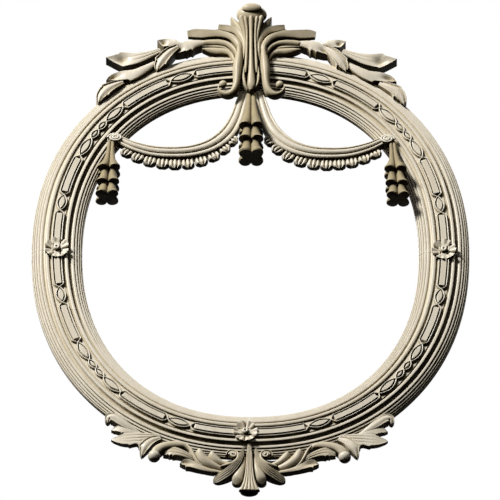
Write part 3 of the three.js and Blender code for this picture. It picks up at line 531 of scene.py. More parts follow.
def ridged(peak, low=0.55):
    """A ridge at one place, falling to both edges."""
    def section(u):
        away = np.where(u > peak, (u - peak) / (1 - peak), (peak - u) / (1 + peak))
        return 1 - (1 - low) * away**RIDGE_POWER
    return section


def lipped(u):
    """A belly in the middle and a lip along each edge."""
    belly = BELLY_LOW + BELLY_RISE * np.exp(-((u / BELLY_WIDTH) ** 2))
    lips = LIP_LOW + LIP_RISE * np.exp(-(((np.abs(u) - LIP_AT) / LIP_WIDTH) ** 2))
    return np.maximum(belly, lips)


def reeded(count, depth=0.24):
    """Round ribs side by side, with grooves of a depth that is a share of the height."""
    def section(u):
        ribs = np.abs(np.cos(math.pi / 2 * count * u + (count % 2 == 0) * math.pi / 2))
        crown = RIB_LOW + RIB_RISE * np.sqrt(1 - RIB_BULGE * u * u)
        return crown * (1 - depth * (1 - ribs**RIB_POWER))
    return section


print("Height of a lipped leaf at its middle and edge:", lipped(np.array([0.0, 1.0])).round(2))

# %% Carve one leaf
END_CROWDING, EDGE_CROWDING = 0.45, 0.4
TIP_LENGTH, TIP_LEAST, ROUND_CLOSED, POINT_CLOSED, TIP_FALL = 1.1, 3.0, 0.985, 0.93, 0.12
BARB_LENGTH, BARB_POWER = 0.16, 1.6
EDGE_SHARE, EDGE_DROP = 0.1, 0.6
SCOOP_AT, SCOOP_LENGTH, SCOOP_WIDTH = 0.8, 0.14, 0.55
SLANT_FROM = 0.5


def smooth_step(share):
    """A slow start and a slow end between 0 and 1."""
    return share * share * (3 - 2 * share)


def run_along(line):
    """Length along a line of spots, up to each of them."""
    return np.concatenate([[0], np.cumsum(np.linalg.norm(np.diff(line[:, :2], axis=0), axis=1))])


def tapered(line, tip):
    """Share of the width left at each step: all of it for a cut end, little at a round or pointed one."""
    run = run_along(line)
    near_end = np.clip(1 - (run[-1] - run) / (TIP_LENGTH * max(line[-1, 2], TIP_LEAST)), 0, 1)
    if tip == "round":
        return np.sqrt(1 - ROUND_CLOSED * near_end**2)
    return 1 - (POINT_CLOSED if tip == "point" else 0) * near_end


def carve(rows, section=crowned, tip_section=None, tip="round", barbs=(), slant=0.0, scoop=0.0, base=0.0,
          steps=30, across=18):
    """A leaf along its rows. Barbs are (share along it, side, reach), for the teeth on its edges; slant is
    how far the left edge runs ahead of the right one at the end, as a share of the width; scoop is the depth
    of a round hollow near the end."""
    even = np.linspace(0, 1, steps + 1)
    shares = (1 - END_CROWDING) * even + END_CROWDING * np.sin(even * np.pi / 2)
    line = smooth_line(rows, shares)
    along = np.gradient(line[:, :2], shares, axis=0)
    along /= np.linalg.norm(along, axis=1)[:, None]
    sideways = np.column_stack([-along[:, 1], along[:, 0]])
    taper = tapered(line, tip)
    halves = {1: line[:, 2] * taper, -1: line[:, 2] * taper}
    for share, side, reach in barbs:
        rise = np.clip((shares - share + BARB_LENGTH) / BARB_LENGTH, 0, 1) ** BARB_POWER
        halves[side] = halves[side] + reach * rise * (shares <= share)
    spread = np.linspace(-1, 1, across + 1)
    u = (1 - EDGE_CROWDING) * spread + EDGE_CROWDING * np.sin(spread * np.pi / 2)
    reach = np.where(u[None, :] > 0, halves[1][:, None], halves[-1][:, None]) * u[None, :]
    turn = smooth_step(shares)[:, None]
    profile = (1 - turn) * section(u)[None, :] + turn * (tip_section or section)(u)[None, :]
    heights = base + (line[:, 3] - base)[:, None] * profile * (1 - TIP_FALL * (1 - taper))[:, None]
    heights = heights - EDGE_DROP * np.clip((np.abs(u) - 1 + EDGE_SHARE) / EDGE_SHARE, 0, 1)[None, :] ** 2
    scooped_along = np.exp(-(((shares - SCOOP_AT) / SCOOP_LENGTH) ** 2))[:, None]
    heights = heights - scoop * scooped_along * np.exp(-((u / SCOOP_WIDTH) ** 2))[None, :]
    ahead = slant * reach * (np.clip((shares - SLANT_FROM) / (1 - SLANT_FROM), 0, 1) ** 2)[:, None]
    points = np.empty((steps + 1, across + 1, 3))
    for axis in (0, 1):
        outwards, onwards = sideways[:, axis, None] * reach, along[:, axis, None] * ahead
        points[..., axis] = line[:, axis, None] + outwards + onwards
    points[..., 2] = heights
    return shell(points, base)


print("Carving tools are ready")

# %% [markdown]
# ## Finishing a piece
# Shade is painted on the carving as if light came from the upper left: undersides, deep cuts and parts
# in the shadow of other parts are painted dark over the pale ivory. It could be painted by hand, but here
# it is measured on the mesh and kept as two attributes, which the shading group reads: "hollow" from the
# slopes between neighbouring points, from the sides turned away from that light and from the painted
# shadows, "ridge" from the edges that stand out, which are painted light as wear and as a highlight. A
# hollow that faces the light gets less painted shade, and a piece with a shade value is painted darker by
# that share everywhere. The attributes are kept for each corner of each face, so that an upright wall can
# be dark right up to its sharp edge.

# %% Measure hollows, ridges, sides turned from the painted light and painted shadows
# The carving is painted as if lit from this direction: sides turned away and spots shaded by other parts of
# the piece are painted dark.
PAINTED_LIGHT_FROM = np.array((-0.35, -0.72, 0.6))
UNLIT_EDGE, UNLIT_FADE = 0.08, 0.32
HOLLOW_FACING_LIGHT, LEAST_HOLLOW, MOST_HOLLOW = 1.6, 0.3, 0.75
HOLLOW_GAIN, RUB_HIGHLIGHT_GAIN = 1.6, 2.0
SHADOW_WAYS = [Vector(way).normalized()
              for way in ((-0.45, -0.72, 0.5), (-0.55, -0.62, 0.5), (-0.4, -0.62, 0.62))]
SHADOW_LIFT, SHADOW_REACH, SHADOW_SHARE = 0.0003, 0.014, 0.85
BEND_REACH, BLUR_PASSES, BLUR_SHARE = 1.6, 2, 0.5
SHORT_EDGE, LONG_EDGE, NO_WEIGHT = 0.05, 3.0, 1e-6


def read(items, name, width, kind=np.float32):
    """All values of one property of a mesh's items, as rows."""
    values = np.empty(len(items) * width, kind)
    items.foreach_get(name, values)
    return values.reshape(-1, width)


def bending(mesh):
    """How far the surface bends at each point over a reach in mm: more than 0 in a hollow."""
    count = len(mesh.vertices)
    spots, normals = read(mesh.vertices, "co", 3) / MM, read(mesh.vertices, "normal", 3)
    a, b = read(mesh.edges, "vertices", 2, np.int32).T
    step = spots[b] - spots[a]
    length = np.maximum(np.linalg.norm(step, axis=1), SHORT_EDGE)
    weight = np.minimum(length, LONG_EDGE)
    total = np.maximum(np.bincount(a, weight, count) + np.bincount(b, weight, count), NO_WEIGHT)
    lift = np.einsum("ij,ij->i", normals[a], step) / length**2 * weight
    drop = -np.einsum("ij,ij->i", normals[b], step) / length**2 * weight
    bend = (np.bincount(a, lift, count) + np.bincount(b, drop, count)) / total * BEND_REACH
    for _ in range(BLUR_PASSES):
        blurred = np.bincount(a, weight * bend[b], count) + np.bincount(b, weight * bend[a], count)
        bend = (1 - BLUR_SHARE) * bend + BLUR_SHARE * blurred / total
    return bend


def shadowed(mesh):
    """Share of the painted light that other parts of the mesh keep off each point, for painted shadows."""
    spots, faces = [point.co for point in mesh.vertices], [face.vertices for face in mesh.polygons]
    tree = BVHTree.FromPolygons(spots, faces)
    in_shadow = np.zeros(len(mesh.vertices))
    for way in SHADOW_WAYS:
        for index, point in enumerate(mesh.vertices):
            if tree.ray_cast(point.co + point.normal * SHADOW_LIFT, way, SHADOW_REACH)[0]:
                in_shadow[index] += 1 / len(SHADOW_WAYS)
    return in_shadow


def measure(piece, shade_painted, shade):
    """Write hollow (painted shade; dirt on plain pieces) and ridge (wear, painted highlight), 0 to 1. Shade:
    painted shade all over.
    """
    mesh = piece.data
    corners = read(mesh.loops, "vertex_index", 1, np.int32)[:, 0]
    bend = bending(mesh)[corners]
    hollow = np.clip(HOLLOW_GAIN * bend, 0, MOST_HOLLOW)
    if shade_painted:
        towards = read(mesh.corner_normals, "vector", 3) @ PAINTED_LIGHT_FROM
        hollow = hollow * np.clip(HOLLOW_FACING_LIGHT - towards, LEAST_HOLLOW, 1)
        # Sides turned away from that light and spots in the shadow of other parts are painted dark.
        unlit = smooth_step(np.clip((UNLIT_EDGE - towards) / UNLIT_FADE, 0, 1))
        unlit = np.maximum(unlit, SHADOW_SHARE * shadowed(mesh)[corners])
        hollow = np.maximum(hollow, shade + (1 - shade) * unlit)
    for name, value in (("hollow", hollow), ("ridge", np.clip(-RUB_HIGHLIGHT_GAIN * bend, 0, 1))):
        attribute = mesh.attributes.new(name, "FLOAT", "CORNER")
        attribute.data.foreach_set("value", value.astype(np.float32))


# The painted shadows are cast along these directions.
print("The spray comes from", [tuple(round(part, 2) for part in way) for way in SHADOW_WAYS])

# %% Join, stand upright and place on the frame
def only(piece):
    """Select one piece and nothing else."""
    deselect()
    piece.select_set(True)
    bpy.context.view_layer.objects.active = piece


def joined(shells):
    """One object made of several shells."""
    only(shells[0])
    for part in shells:
        part.select_set(True)
    bpy.ops.object.join()
    return bpy.context.object


def stood_up(piece):
    """Turn a piece from the bench to its place in the room."""
    only(piece)
    piece.rotation_euler = (math.pi / 2, 0, 0)
    piece.location = (0, BENCH_IN_ROOM, 0)
    bpy.ops.object.transform_apply(location=True, rotation=True, scale=True)
    return piece


BODIES = frame["record"]["behaviour"]["bodies"]
BODY_OF = {name: body for body, names in BODIES.items() for name in names}


def finished(piece, cad_node, slot="carved_wood", angle=42, shade=0.0):
    """Smooth a piece, give it its finish and let it stand for its solid."""
    only(piece)
    bpy.ops.object.shade_smooth_by_angle(angle=math.radians(angle))
    piece.name = f"{cad_node}_finished"
    piece.data.name = piece.name
    measure(piece, slot == "carved_wood", shade)
    piece.data.materials.clear()
    piece.data.materials.append(FINISHES[slot])
    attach(piece, BODY_OF[cad_node])
    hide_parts(cad_node)
    return piece


def mirrored(piece, scale=(-1, 1, 1)):
    """A copy of an upright piece for the other side, with its faces turned back outwards."""
    only(piece)
    bpy.ops.object.duplicate()
    copy = bpy.context.object
    copy.scale = scale
    bpy.ops.object.transform_apply(location=False, rotation=False, scale=True)
    edit(pick_all, bpy.ops.mesh.flip_normals)
    return copy


def both_sides(shells, name, shade=0.0):
    """Finish a piece on the right and its mirror image on the left."""
    right = stood_up(joined(shells))
    left = mirrored(right)
    finished(right, f"{name}_right", shade=shade)
    finished(left, f"{name}_left", shade=shade)
    print(name, "has", len(right.data.polygons), "faces on each side")


print("Bodies:", sorted(BODIES))

# %% [markdown]
# ## Moulding
# The moulding is a run of flat reeds that step down from the crown to both edges, with one cove behind the
# first reed. It could be a curve with a bevel profile, but a grid bent round the oval keeps every reed
# exactly where it should be. Each reed rounds off slowly on the side of the crown and more sharply on the
# side of the edge.

# %% The section of the moulding
GROUND = [(0, 16.5), (8.6, 16.5), (9.4, 15.6), (11.5, 15.8), (16.3, 15.8), (17.6, 13.8), (19.2, 13.4),
          (20.7, 13.6), (37.4, 5.3), (37.5, 5)]
REEDS = [(11.6, 16.2, 19.2), (20.8, 25.3, 15.2), (25.4, 29.3, 13.0), (29.4, 32.7, 10.8), (32.8, 35.4, 8.8),
         (35.5, 37.3, 7)]
INNER_DROP, INNER_POWER = 1.1, 3
OUTER_DROP, OUTER_POWER = 0.5, 6
REED_SIDES, REED_EDGE = 10, 1.001


def moulding_height(offsets):
    """Height of the reeds at so many millimetres from the crown line."""
    away = np.abs(offsets)
    height = np.interp(away, *zip(*GROUND))
    for start, end, top in REEDS:
        across = (2 * away - start - end) / (end - start)
        inner = INNER_DROP * np.clip(-across, 0, 1) ** INNER_POWER
        outer = OUTER_DROP * np.clip(across, 0, 1) ** OUTER_POWER
        height = np.where(np.abs(across) <= REED_EDGE, top - inner - outer, height)
    return height


outside = [place for place, _ in GROUND]
for start, end, _ in REEDS:
    swing = np.sin(np.linspace(-math.pi / 2, math.pi / 2, REED_SIDES + 1))
    outside += list((start + end) / 2 + (end - start) / 2 * swing)
outside = np.unique(np.round(outside, 2))
REED_COLUMNS = np.concatenate([-outside[::-1], outside[1:]])
print("Columns across the moulding:", len(REED_COLUMNS))

# %% [markdown]
# ## The chain along the crown
# Two thin ribbons run along the crown. They lie beside long flat bars, cross at the end of each bar and
# swell round pointed ovals, with two beads in the middle of each quarter. On the real frame this is cut
# into a flat band, so here a fine band lies in the crown, and its height is worked out from the distance to
# ribbons, bars and ovals.

# %% The pattern of the chain, as angles on the oval
CHAIN = [("bar", -10.6, 10.6), ("oval", 10.6, 15.4), ("bar", 15.4, 28.9), ("oval", 28.9, 35.6),
         ("bead", 35.6, 39.2), ("bead", 39.2, 42.9), ("oval", 42.9, 50.1), ("bar", 50.1, 67.2),
         ("oval", 67.2, 74.2), ("bar", 74.2, 105.8)]
RIBBON_OFFSET, RIBBON_HALF = 6.9, 1.25
BAR_HALF, BAND_HALF = 4.5, 8.6
BEAD_SWELL, BODY_GAP = 4.8, 2.7
BAND_FLOOR, BAND_TOP, BAND_SUNK = 17.0, CROWN_Z + 0.3, 3
CROSSING, BAR_CLEAR, BAR_POINT, SWELL_POWER = 7.5, 5.5, 0.6, 0.75
RIBBON_RISE, BODY_EDGE = 0.9, 0.8
FINE_SPOTS = 6000

fine = np.linspace(CHAIN[0][1], CHAIN[-1][2], FINE_SPOTS)
fine_run = run_along(np.column_stack(on_oval(fine)))


def run_at(degrees):
    """Length along the crown line in mm, in the right upper quarter."""
    return np.interp(degrees, fine, fine_run)


def soft_step(distance, half):
    """1 inside a shape whose edge is rounded over the half width, 0 outside."""
    inside = np.clip(distance / half, 0, 1)
    return np.sqrt(1 - (1 - inside) ** 2)


def band_height(degrees, offsets):
    """Height of the band over a grid of angles and offsets from the crown line."""
    run, away = run_at(degrees)[:, None], np.abs(offsets)[None, :]
    raised = np.zeros((len(degrees), len(offsets)))
    for kind, start, end in CHAIN:
        first, last = run_at(start), run_at(end)
        inside = (run >= first) & (run <= last)
        from_end = np.clip(np.minimum(run - first, last - run), 0, None)
        share = np.clip((run - first) / (last - first), 0, 1)
        if kind == "bar":
            ribbon = RIBBON_OFFSET * np.sin(np.clip(from_end / CROSSING, 0, 1) * math.pi / 2)
            body = np.minimum(BAR_HALF - away, BAR_POINT * (from_end - BAR_CLEAR))
        else:
            swell = RIBBON_OFFSET if kind == "oval" else BEAD_SWELL
            ribbon = swell * np.sin(share * math.pi) ** SWELL_POWER
            body = ribbon - BODY_GAP - away
        slant = np.hypot(1, np.gradient(ribbon[:, 0], run[:, 0]))[:, None]
        line = soft_step(RIBBON_HALF - np.abs(away - ribbon) / slant, RIBBON_HALF)
        raised = np.maximum(raised, inside * np.maximum(RIBBON_RISE * line, soft_step(body, BODY_EDGE)))
    return BAND_FLOOR + (BAND_TOP - BAND_FLOOR) * raised


print("Chain of one quarter, mm:", round(float(run_at(90) - run_at(0))))

# %% Sweep the moulding and its band round one quarter
JOINT_GAP = 0.15
REED_STEPS, BAND_STEPS, BAND_COLUMNS = 150, 700, 42


def along_quarter(steps):
    """Angles from the side to the top, evenly spaced along the crown line and clear of the joints."""
    first, last = run_at(0.0), run_at(90.0)
    return np.interp(np.linspace(first + JOINT_GAP, last - JOINT_GAP, steps + 1), fine_run, fine)


def swept(degrees, offsets, heights, base):
    """A grid bent round the oval and closed underneath."""
    points = np.empty((len(degrees), len(offsets), 3))
    for column, out in enumerate(offsets):
        points[:, column, 0], points[:, column, 1] = on_oval(degrees, out)
    points[..., 2] = heights
    return shell(points, base)


reeds = swept(along_quarter(REED_STEPS), REED_COLUMNS, moulding_height(REED_COLUMNS)[None, :], 0.0)
band_angles = along_quarter(BAND_STEPS)
band_offsets = np.linspace(-BAND_HALF, BAND_HALF, BAND_COLUMNS + 1)
band = swept(band_angles, band_offsets, band_height(band_angles, band_offsets), BAND_FLOOR - BAND_SUNK)
quarter = stood_up(joined([reeds, band]))
print("Faces of one quarter:", len(quarter.data.polygons))

# %% Copy the quarter to the other three
lower = mirrored(quarter, scale=(1, 1, -1))
mouldings = {"upper_right": quarter, "lower_right": lower}
mouldings["upper_left"] = mirrored(quarter)
mouldings["lower_left"] = mirrored(lower)
for name, piece in mouldings.items():
    finished(piece, f"moulding_{name}", angle=50)
print("Quarters:", sorted(mouldings))

# %% [markdown]
# ## Crest
# The crest is a fluted palmette with a curled tip, leaves in three tiers and a volute on each side. It
# could be sculpted from one block, but leaves that are carved one by one and overlap keep each fold where
# the picture has it. Their rows are traced from the picture: place, half width in mm and height above the
# flat back in mm. The flutes stand clear of the block behind them, so that the cuts between them are deep
# and dark. The whole crest is painted a little darker all over than the moulding.

# %% Round knobs
def ball(place, radii, rings):
    """A round knob, added as a sphere and stretched to its radii."""
    deselect()
    bpy.ops.mesh.primitive_uv_sphere_add(segments=2 * rings, ring_count=rings, radius=MM)
    made = bpy.context.object
    edit(
        pick_all,
        lambda: bpy.ops.transform.resize(value=radii, center_override=(0, 0, 0)),
        lambda: bpy.ops.transform.translate(value=[MM * value for value in place]))
    return made


print("The tool for round knobs is ready")

# %% The palmette in the middle of the crest
CREST_SHIFT, CREST_AXIS = 1.4, 252.6
LEDGE = 18.0
CREST_SHADE = 0.22


def crest_leaf(rows, **options):
    """A leaf of the crest, traced in the picture."""
    return carve(traced(rows, CREST_SHIFT), **options)


def other_side(rows, axis):
    """The same rows on the other side of an upright axis of the picture."""
    return [(2 * axis - x, *rest) for x, *rest in rows]


middle_rib = [(252.6, 89, 2.4, 30), (252.7, 84, 5.8, 33), (252.7, 76, 5.2, 34.5), (252.6, 66, 3.8, 35.5),
              (252.6, 50, 2.9, 36.5), (252.6, 36, 2.9, 38), (252.6, 26, 3.2, 40.5), (252.6, 13, 4.2, 45)]
side_rib = [(258.3, 72, 1.6, 30), (258, 66, 2.3, 33), (257.2, 50, 2.1, 34), (256.8, 36, 2, 36),
            (257.2, 26, 2.4, 39), (258.6, 14, 3.4, 44)]
bud_leaf = [(256.2, 89, 1, 27), (258.6, 83.5, 2.2, 30), (260, 76.5, 2.6, 31), (259.9, 70, 1.8, 31.5),
            (259.2, 64, 0.8, 31)]
fan_lobe = [(258.4, 46, 1.2, 32), (258.8, 36, 2, 34.5), (260.6, 24, 3.4, 38.5), (263.2, 13.5, 4.4, 43)]
second_leaf = [(258.7, 43, 1.6, 30), (261, 34, 3, 32), (265, 25.5, 4.4, 32), (269.4, 20, 4, 30.5),
               (273.4, 15, 0.8, 29)]
palmette = [crest_leaf(middle_rib, section=cushioned, base=LEDGE)]
for rows, options in (
        (side_rib, {"section": cushioned, "base": LEDGE}), (bud_leaf, {"base": LEDGE, "tip": "point"}),
        (fan_lobe, {"section": cushioned, "base": LEDGE}),
        (second_leaf, {"section": flattened, "tip": "point"})):
    palmette += [crest_leaf(side, **options) for side in (rows, other_side(rows, CREST_AXIS))]
block = [(0, RIM_TOP - 80, 6, 21), (0, RIM_TOP - 62, 10.5, 23), (0, RIM_TOP - 30, 10.5, 24),
         (0, RIM_TOP + 10, 11, 25), (0, RIM_TOP + 34, 15, 29), (0, RIM_TOP + 50, 18, 32)]
palmette.append(carve(block, section=cushioned, across=20, steps=34))
palmette.append(ball((0, RIM_TOP + 54, 31), (22.6, 15.5, 13), rings=28))
palmette.append(ball((0, RIM_TOP + 58, 43.2), (14.6, 7.8, 6.6), rings=24))
print("Shells of the palmette:", len(palmette))
finished(stood_up(joined(palmette)), "crest_palmette", shade=CREST_SHADE)

# %% The volutes, with the third tier and the long leaves
stem = [(271, 36.6, 1, 28), (266.4, 43.4, 3, 32), (265.2, 50, 5, 34), (266, 58, 6.8, 35),
        (266.9, 66, 7.2, 35), (267.2, 75, 6, 34), (268.2, 83, 5.5, 33), (270.8, 89, 5.2, 32),
        (275.6, 92.4, 4.8, 31), (281, 92.2, 3.3, 30), (285, 89, 2, 29.5), (286, 85, 1.3, 29)]
third_leaf = [(261.2, 60, 0.8, 29), (260.3, 50, 3, 32), (260.7, 41, 4.2, 32.5), (263.7, 33.6, 5.2, 32),
              (268.9, 28.6, 5.2, 31), (277, 26.3, 5.2, 29), (286.4, 25.2, 3.6, 27)]
long_leaf = [(263.6, 56, 1, 30), (264.8, 45.6, 4.2, 32.5), (269.4, 38, 5.2, 31.5), (276, 33.8, 5.4, 30.5),
             (285, 31.8, 5.8, 29), (294, 31.4, 6.8, 27.5), (303, 31.5, 8, 26), (311, 31.4, 7.6, 24.5),
             (317.4, 32.6, 5.4, 23)]
fingers = [
    [(266.8, 56, 1.6, 29), (270, 48.2, 3.2, 27.5), (276, 43, 4.6, 25), (284, 40.8, 5.8, 23),
     (294, 40.8, 6, 21), (303, 41.8, 5, 20)],
    [(275, 49.8, 1.6, 20), (281, 46.8, 2.8, 20.5), (290, 45.9, 3.2, 20), (302.6, 46, 1, 18)],
    [(269, 62, 1.6, 24), (273, 53.4, 3.6, 22), (279, 50, 5.4, 21), (288, 49.4, 6.2, 20),
     (296, 48.6, 4.6, 19), (303, 48.4, 1, 17)]]
volute = [
    crest_leaf(stem, base=LEDGE, steps=60),
    crest_leaf(third_leaf, section=cushioned, tip_section=ridged(0.6, 0.84), tip="cut", across=24),
    crest_leaf(long_leaf, section=cushioned, tip_section=ridged(0.55, 0.62), tip="cut", base=13, across=26,
               steps=48, barbs=[(0.55, 1, 2.0)]),
]
volute += [crest_leaf(rows, section=cushioned, tip_section=crowned, base=6, steps=36) for rows in fingers]
eye = traced([(281.3, 84.9, 0, 25)], CREST_SHIFT)[0]
volute.append(ball((eye[0], eye[1], eye[3]), (5.9, 5.9, 6.3), rings=18))
both_sides(volute, "crest_volute", CREST_SHADE)

# %% [markdown]
# ## Sprays beside the crest
# Leaves follow the rim to both sides. They are cupped, with teeth on their edges and hollows scooped near
# their ends, and some ends are cut off square, so that a tall dark wall shows under each. A spray could be
# one sheet with a cut outline, but then no leaf would overlap the next, so each leaf is carved on its own.

# %% Carve the sprays
SPRAY_SHIFT = 0.7


def spray_leaf(rows, **options):
    """A leaf of the spray on the right, traced in the picture."""
    return carve(traced(rows, SPRAY_SHIFT), **options)


spray = [
    spray_leaf([(300, 41.6, 5, 18.5), (309, 42.6, 7.4, 21), (317, 44.8, 8.6, 22), (323.6, 48.6, 6, 21),
                (328, 53.4, 1.2, 18)],
               section=cushioned, tip_section=hollowed, tip="point", scoop=3.0,
               barbs=[(0.42, -1, 3), (0.66, -1, 2.5)]),
    spray_leaf([(323, 43.8, 4.4, 20), (331, 42.4, 6.4, 21), (338, 42.2, 7, 21.5), (344, 43.6, 6.8, 21.5)],
               section=cushioned, tip_section=hollowed, tip="cut", slant=0.4, scoop=4.0,
               barbs=[(0.3, 1, 2.4)]),
    spray_leaf([(326, 46, 4, 20), (334, 50.8, 7.6, 22.5), (341, 58, 9.2, 22.5), (345.6, 65.4, 6.8, 20),
                (347.2, 71.6, 1.2, 17)],
               section=lipped, tip="point", across=32, barbs=[(0.66, -1, 2.6), (0.62, 1, 2.6)]),
    spray_leaf([(344, 50, 4.4, 18.5), (357, 54.8, 7.4, 20), (369, 58.2, 10.4, 20.5), (380, 59.8, 12.2, 20),
                (389.6, 62.8, 12.6, 19.5)],
               section=reeded(3, 0.06), tip_section=hollowed, tip="cut", across=36, slant=0.75, scoop=6.0,
               barbs=[(0.78, 1, 3.4)]),
    spray_leaf([(349, 63, 4.6, 18), (359, 68.6, 6.8, 20), (369.5, 73.8, 8.4, 20.5), (381, 75.8, 8.4, 19),
                (390, 77.8, 6.2, 17), (398, 81, 1, 15)],
               section=cushioned, tip_section=hollowed, tip="point", scoop=4.5, barbs=[(0.5, -1, 3.4)]),
    spray_leaf([(381, 82.4, 4.2, 16.5), (390, 85.8, 7.4, 19.5), (398, 90.4, 9.2, 20),
                (403.6, 97.4, 6.8, 18.5), (405.6, 105, 1.2, 15)],
               section=lipped, tip="point", across=32, barbs=[(0.62, -1, 2.6), (0.5, 1, 2)]),
]
both_sides(spray, "crest_spray")

# %% [markdown]
# ## Swags and their fringe
# A swag is cloth carved in wood: three strands that hang between the crest and a knot, with pleated tabs
# under them. Cloth could be simulated, but carved folds are stiff and even. So the strands are one section
# with three ridges of unequal width, and each tab is a short leaf with three ribs and a rounded end.

# %% The swag
KNOT_ANGLE, KNOT_FROM_SIGHT = 39.3, 8.2
KNOT_X, KNOT_Y = (float(v) for v in on_oval(KNOT_ANGLE, KNOT_FROM_SIGHT - HALF_MOULDING))
KNOT_RADII = (12.5, 8.5, 11)
SWAG_TOP = (8.5, SIGHT_TOP - 3, 5.6, 18)
SWAG_START = (13, SIGHT_TOP - 15)
SWAG_END = (KNOT_X - KNOT_RADII[0] / 2, KNOT_Y)
SWAG_DROP, SWAG_BASE = 67, 8
SWAG_ROWS = [(0, 0, 8, 18.5), (0.05, 0.5, 10.5, 20), (0.122, 0.85, 12, 22), (0.246, 1.05, 11.6, 24),
             (0.4, 1.05, 10.8, 25), (0.564, 0.9, 10.2, 25), (0.73, 0.66, 9.6, 24), (0.88, 0.34, 8.2, 23),
             (1, 0, 6.5, 21)]
STRANDS = [(0.8, 0.2, 0.9), (0.14, 0.46, 1.0), (-0.66, 0.34, 0.93)]
STRAND_FLOOR = 0.68


def stranded(u):
    """Three round strands side by side."""
    ridges = np.full_like(u, STRAND_FLOOR)
    for middle, half, top in STRANDS:
        ridge = STRAND_FLOOR + (top - STRAND_FLOOR) * np.sqrt(np.clip(1 - ((u - middle) / half) ** 2, 0, 1))
        ridges = np.maximum(ridges, ridge)
    return ridges


hung = [(SWAG_START[0] + span * (SWAG_END[0] - SWAG_START[0]),
         SWAG_START[1] + span * (SWAG_END[1] - SWAG_START[1]) - drop * SWAG_DROP, half, top)
        for span, drop, half, top in SWAG_ROWS]
swag = carve([SWAG_TOP] + hung, section=stranded, tip="cut", base=SWAG_BASE, steps=96, across=48)
both_sides([swag], "swag")

# %% The fringe of pleated tabs
TABS, TAB_TOP, TAB_BACK = 10, 21.5, 11.5
TAB_REACH, TAB_LENGTH, SHORTEST_TAB = 14, 12, 0.4
# Rows of a tab: mm from the swag's line or past its own end, half width in pitches, mm below its top
TAB_START = [(6, 0.48, 5.5), (11, 0.53, 2.5)]
TAB_END = [(-5, 0.56, 0), (-2.2, 0.5, 0.4), (0.8, 0.27, 2)]
STRIP_HALF, STRIP_TOP, STRIP_BACK, STRIP_ROWS = 7, 16, 4, 24
FRINGE_START, FRINGE_END, LINE_SPOTS = 0.27, 0.95, 400
swag_line = smooth_line(hung, np.linspace(0, 1, LINE_SPOTS))[:, :2]
swag_run = run_along(swag_line)
swag_way = np.gradient(swag_line, axis=0)
swag_way /= np.linalg.norm(swag_way, axis=1)[:, None]


def on_swag(share, values):
    """A value of the swag's line at a share of its length."""
    return np.array([np.interp(share * swag_run[-1], swag_run, values[:, k]) for k in (0, 1)])


pitch = swag_run[-1] * (FRINGE_END - FRINGE_START) / TABS
fringe = []
for tab in range(TABS):
    place = (tab + 0.5) / TABS
    share = FRINGE_START + place * (FRINGE_END - FRINGE_START)
    spot, way = on_swag(share, swag_line), on_swag(share, swag_way)
    down = np.array([way[1], -way[0]])
    reach = TAB_REACH + TAB_LENGTH * (SHORTEST_TAB + (1 - SHORTEST_TAB) * math.sin(math.pi * place))
    tab_rows = TAB_START + [(reach + past, half, drop) for past, half, drop in TAB_END]
    rows = [(*(spot + down * away), half * pitch, TAB_TOP - drop) for away, half, drop in tab_rows]
    fringe.append(carve(rows, section=reeded(3, 0.5), tip="cut", base=TAB_BACK, across=44, steps=20))
strip = [(*on_swag(share, swag_line), STRIP_HALF, STRIP_TOP)
         for share in np.linspace(FRINGE_START, FRINGE_END, STRIP_ROWS)]
fringe.append(carve(strip, section=flattened, tip="cut", base=STRIP_BACK, steps=46, across=6))
both_sides(fringe, "fringe")

# %% [markdown]
# ## Knots and tassels
# Each swag ends in a knot: an oval button wound with cord. The tassels are four strands in three tiers that
# flare and turn under. A tassel could be spun from its outline, but then it would be round. So it is a tube
# whose section has four lobes, and whose size follows a list of tiers.

# %% The knots
COIL_IN, COIL_RISE = 0.8, 2.2
WIRE_ROUNDNESS = 3


def wire(spots, radius, closed=False):
    """A round wire through spots in mm, as a curve with a bevel that is made a mesh."""
    deselect()
    bpy.ops.curve.primitive_nurbs_path_add()
    made = bpy.context.object
    made.data.splines.clear()
    line = made.data.splines.new("POLY")
    line.points.add(len(spots) - 1)
    for point, spot in zip(line.points, spots):
        point.co = (*[MM * value for value in spot], 1)
    line.use_cyclic_u = closed
    made.data.bevel_depth = radius * MM
    made.data.bevel_resolution = WIRE_ROUNDNESS
    made.data.use_fill_caps = not closed
    bpy.ops.object.convert(target="MESH")
    return bpy.context.object


def coil(place, radii, height, turns, cord, steps=120):
    """A cord wound into a flat spiral on an oval."""
    spots = []
    for share in np.linspace(0, 1, steps):
        turn, size = 2 * math.pi * turns * share, 1 - COIL_IN * share
        x, y = place[0] + radii[0] * size * math.cos(turn), place[1] + radii[1] * size * math.sin(turn)
        spots.append((x, y, height + COIL_RISE * (1 - size)))
    return wire(spots, cord)


KNOT_Z = 16
knot_button = ball((KNOT_X, KNOT_Y, KNOT_Z - 1), (11.5, 8, 9.5), rings=18)
knot_cord = coil((KNOT_X, KNOT_Y), (10.6, 7.2), height=22, turns=2.2, cord=1.7)
both_sides([knot_button, knot_cord], "knot")

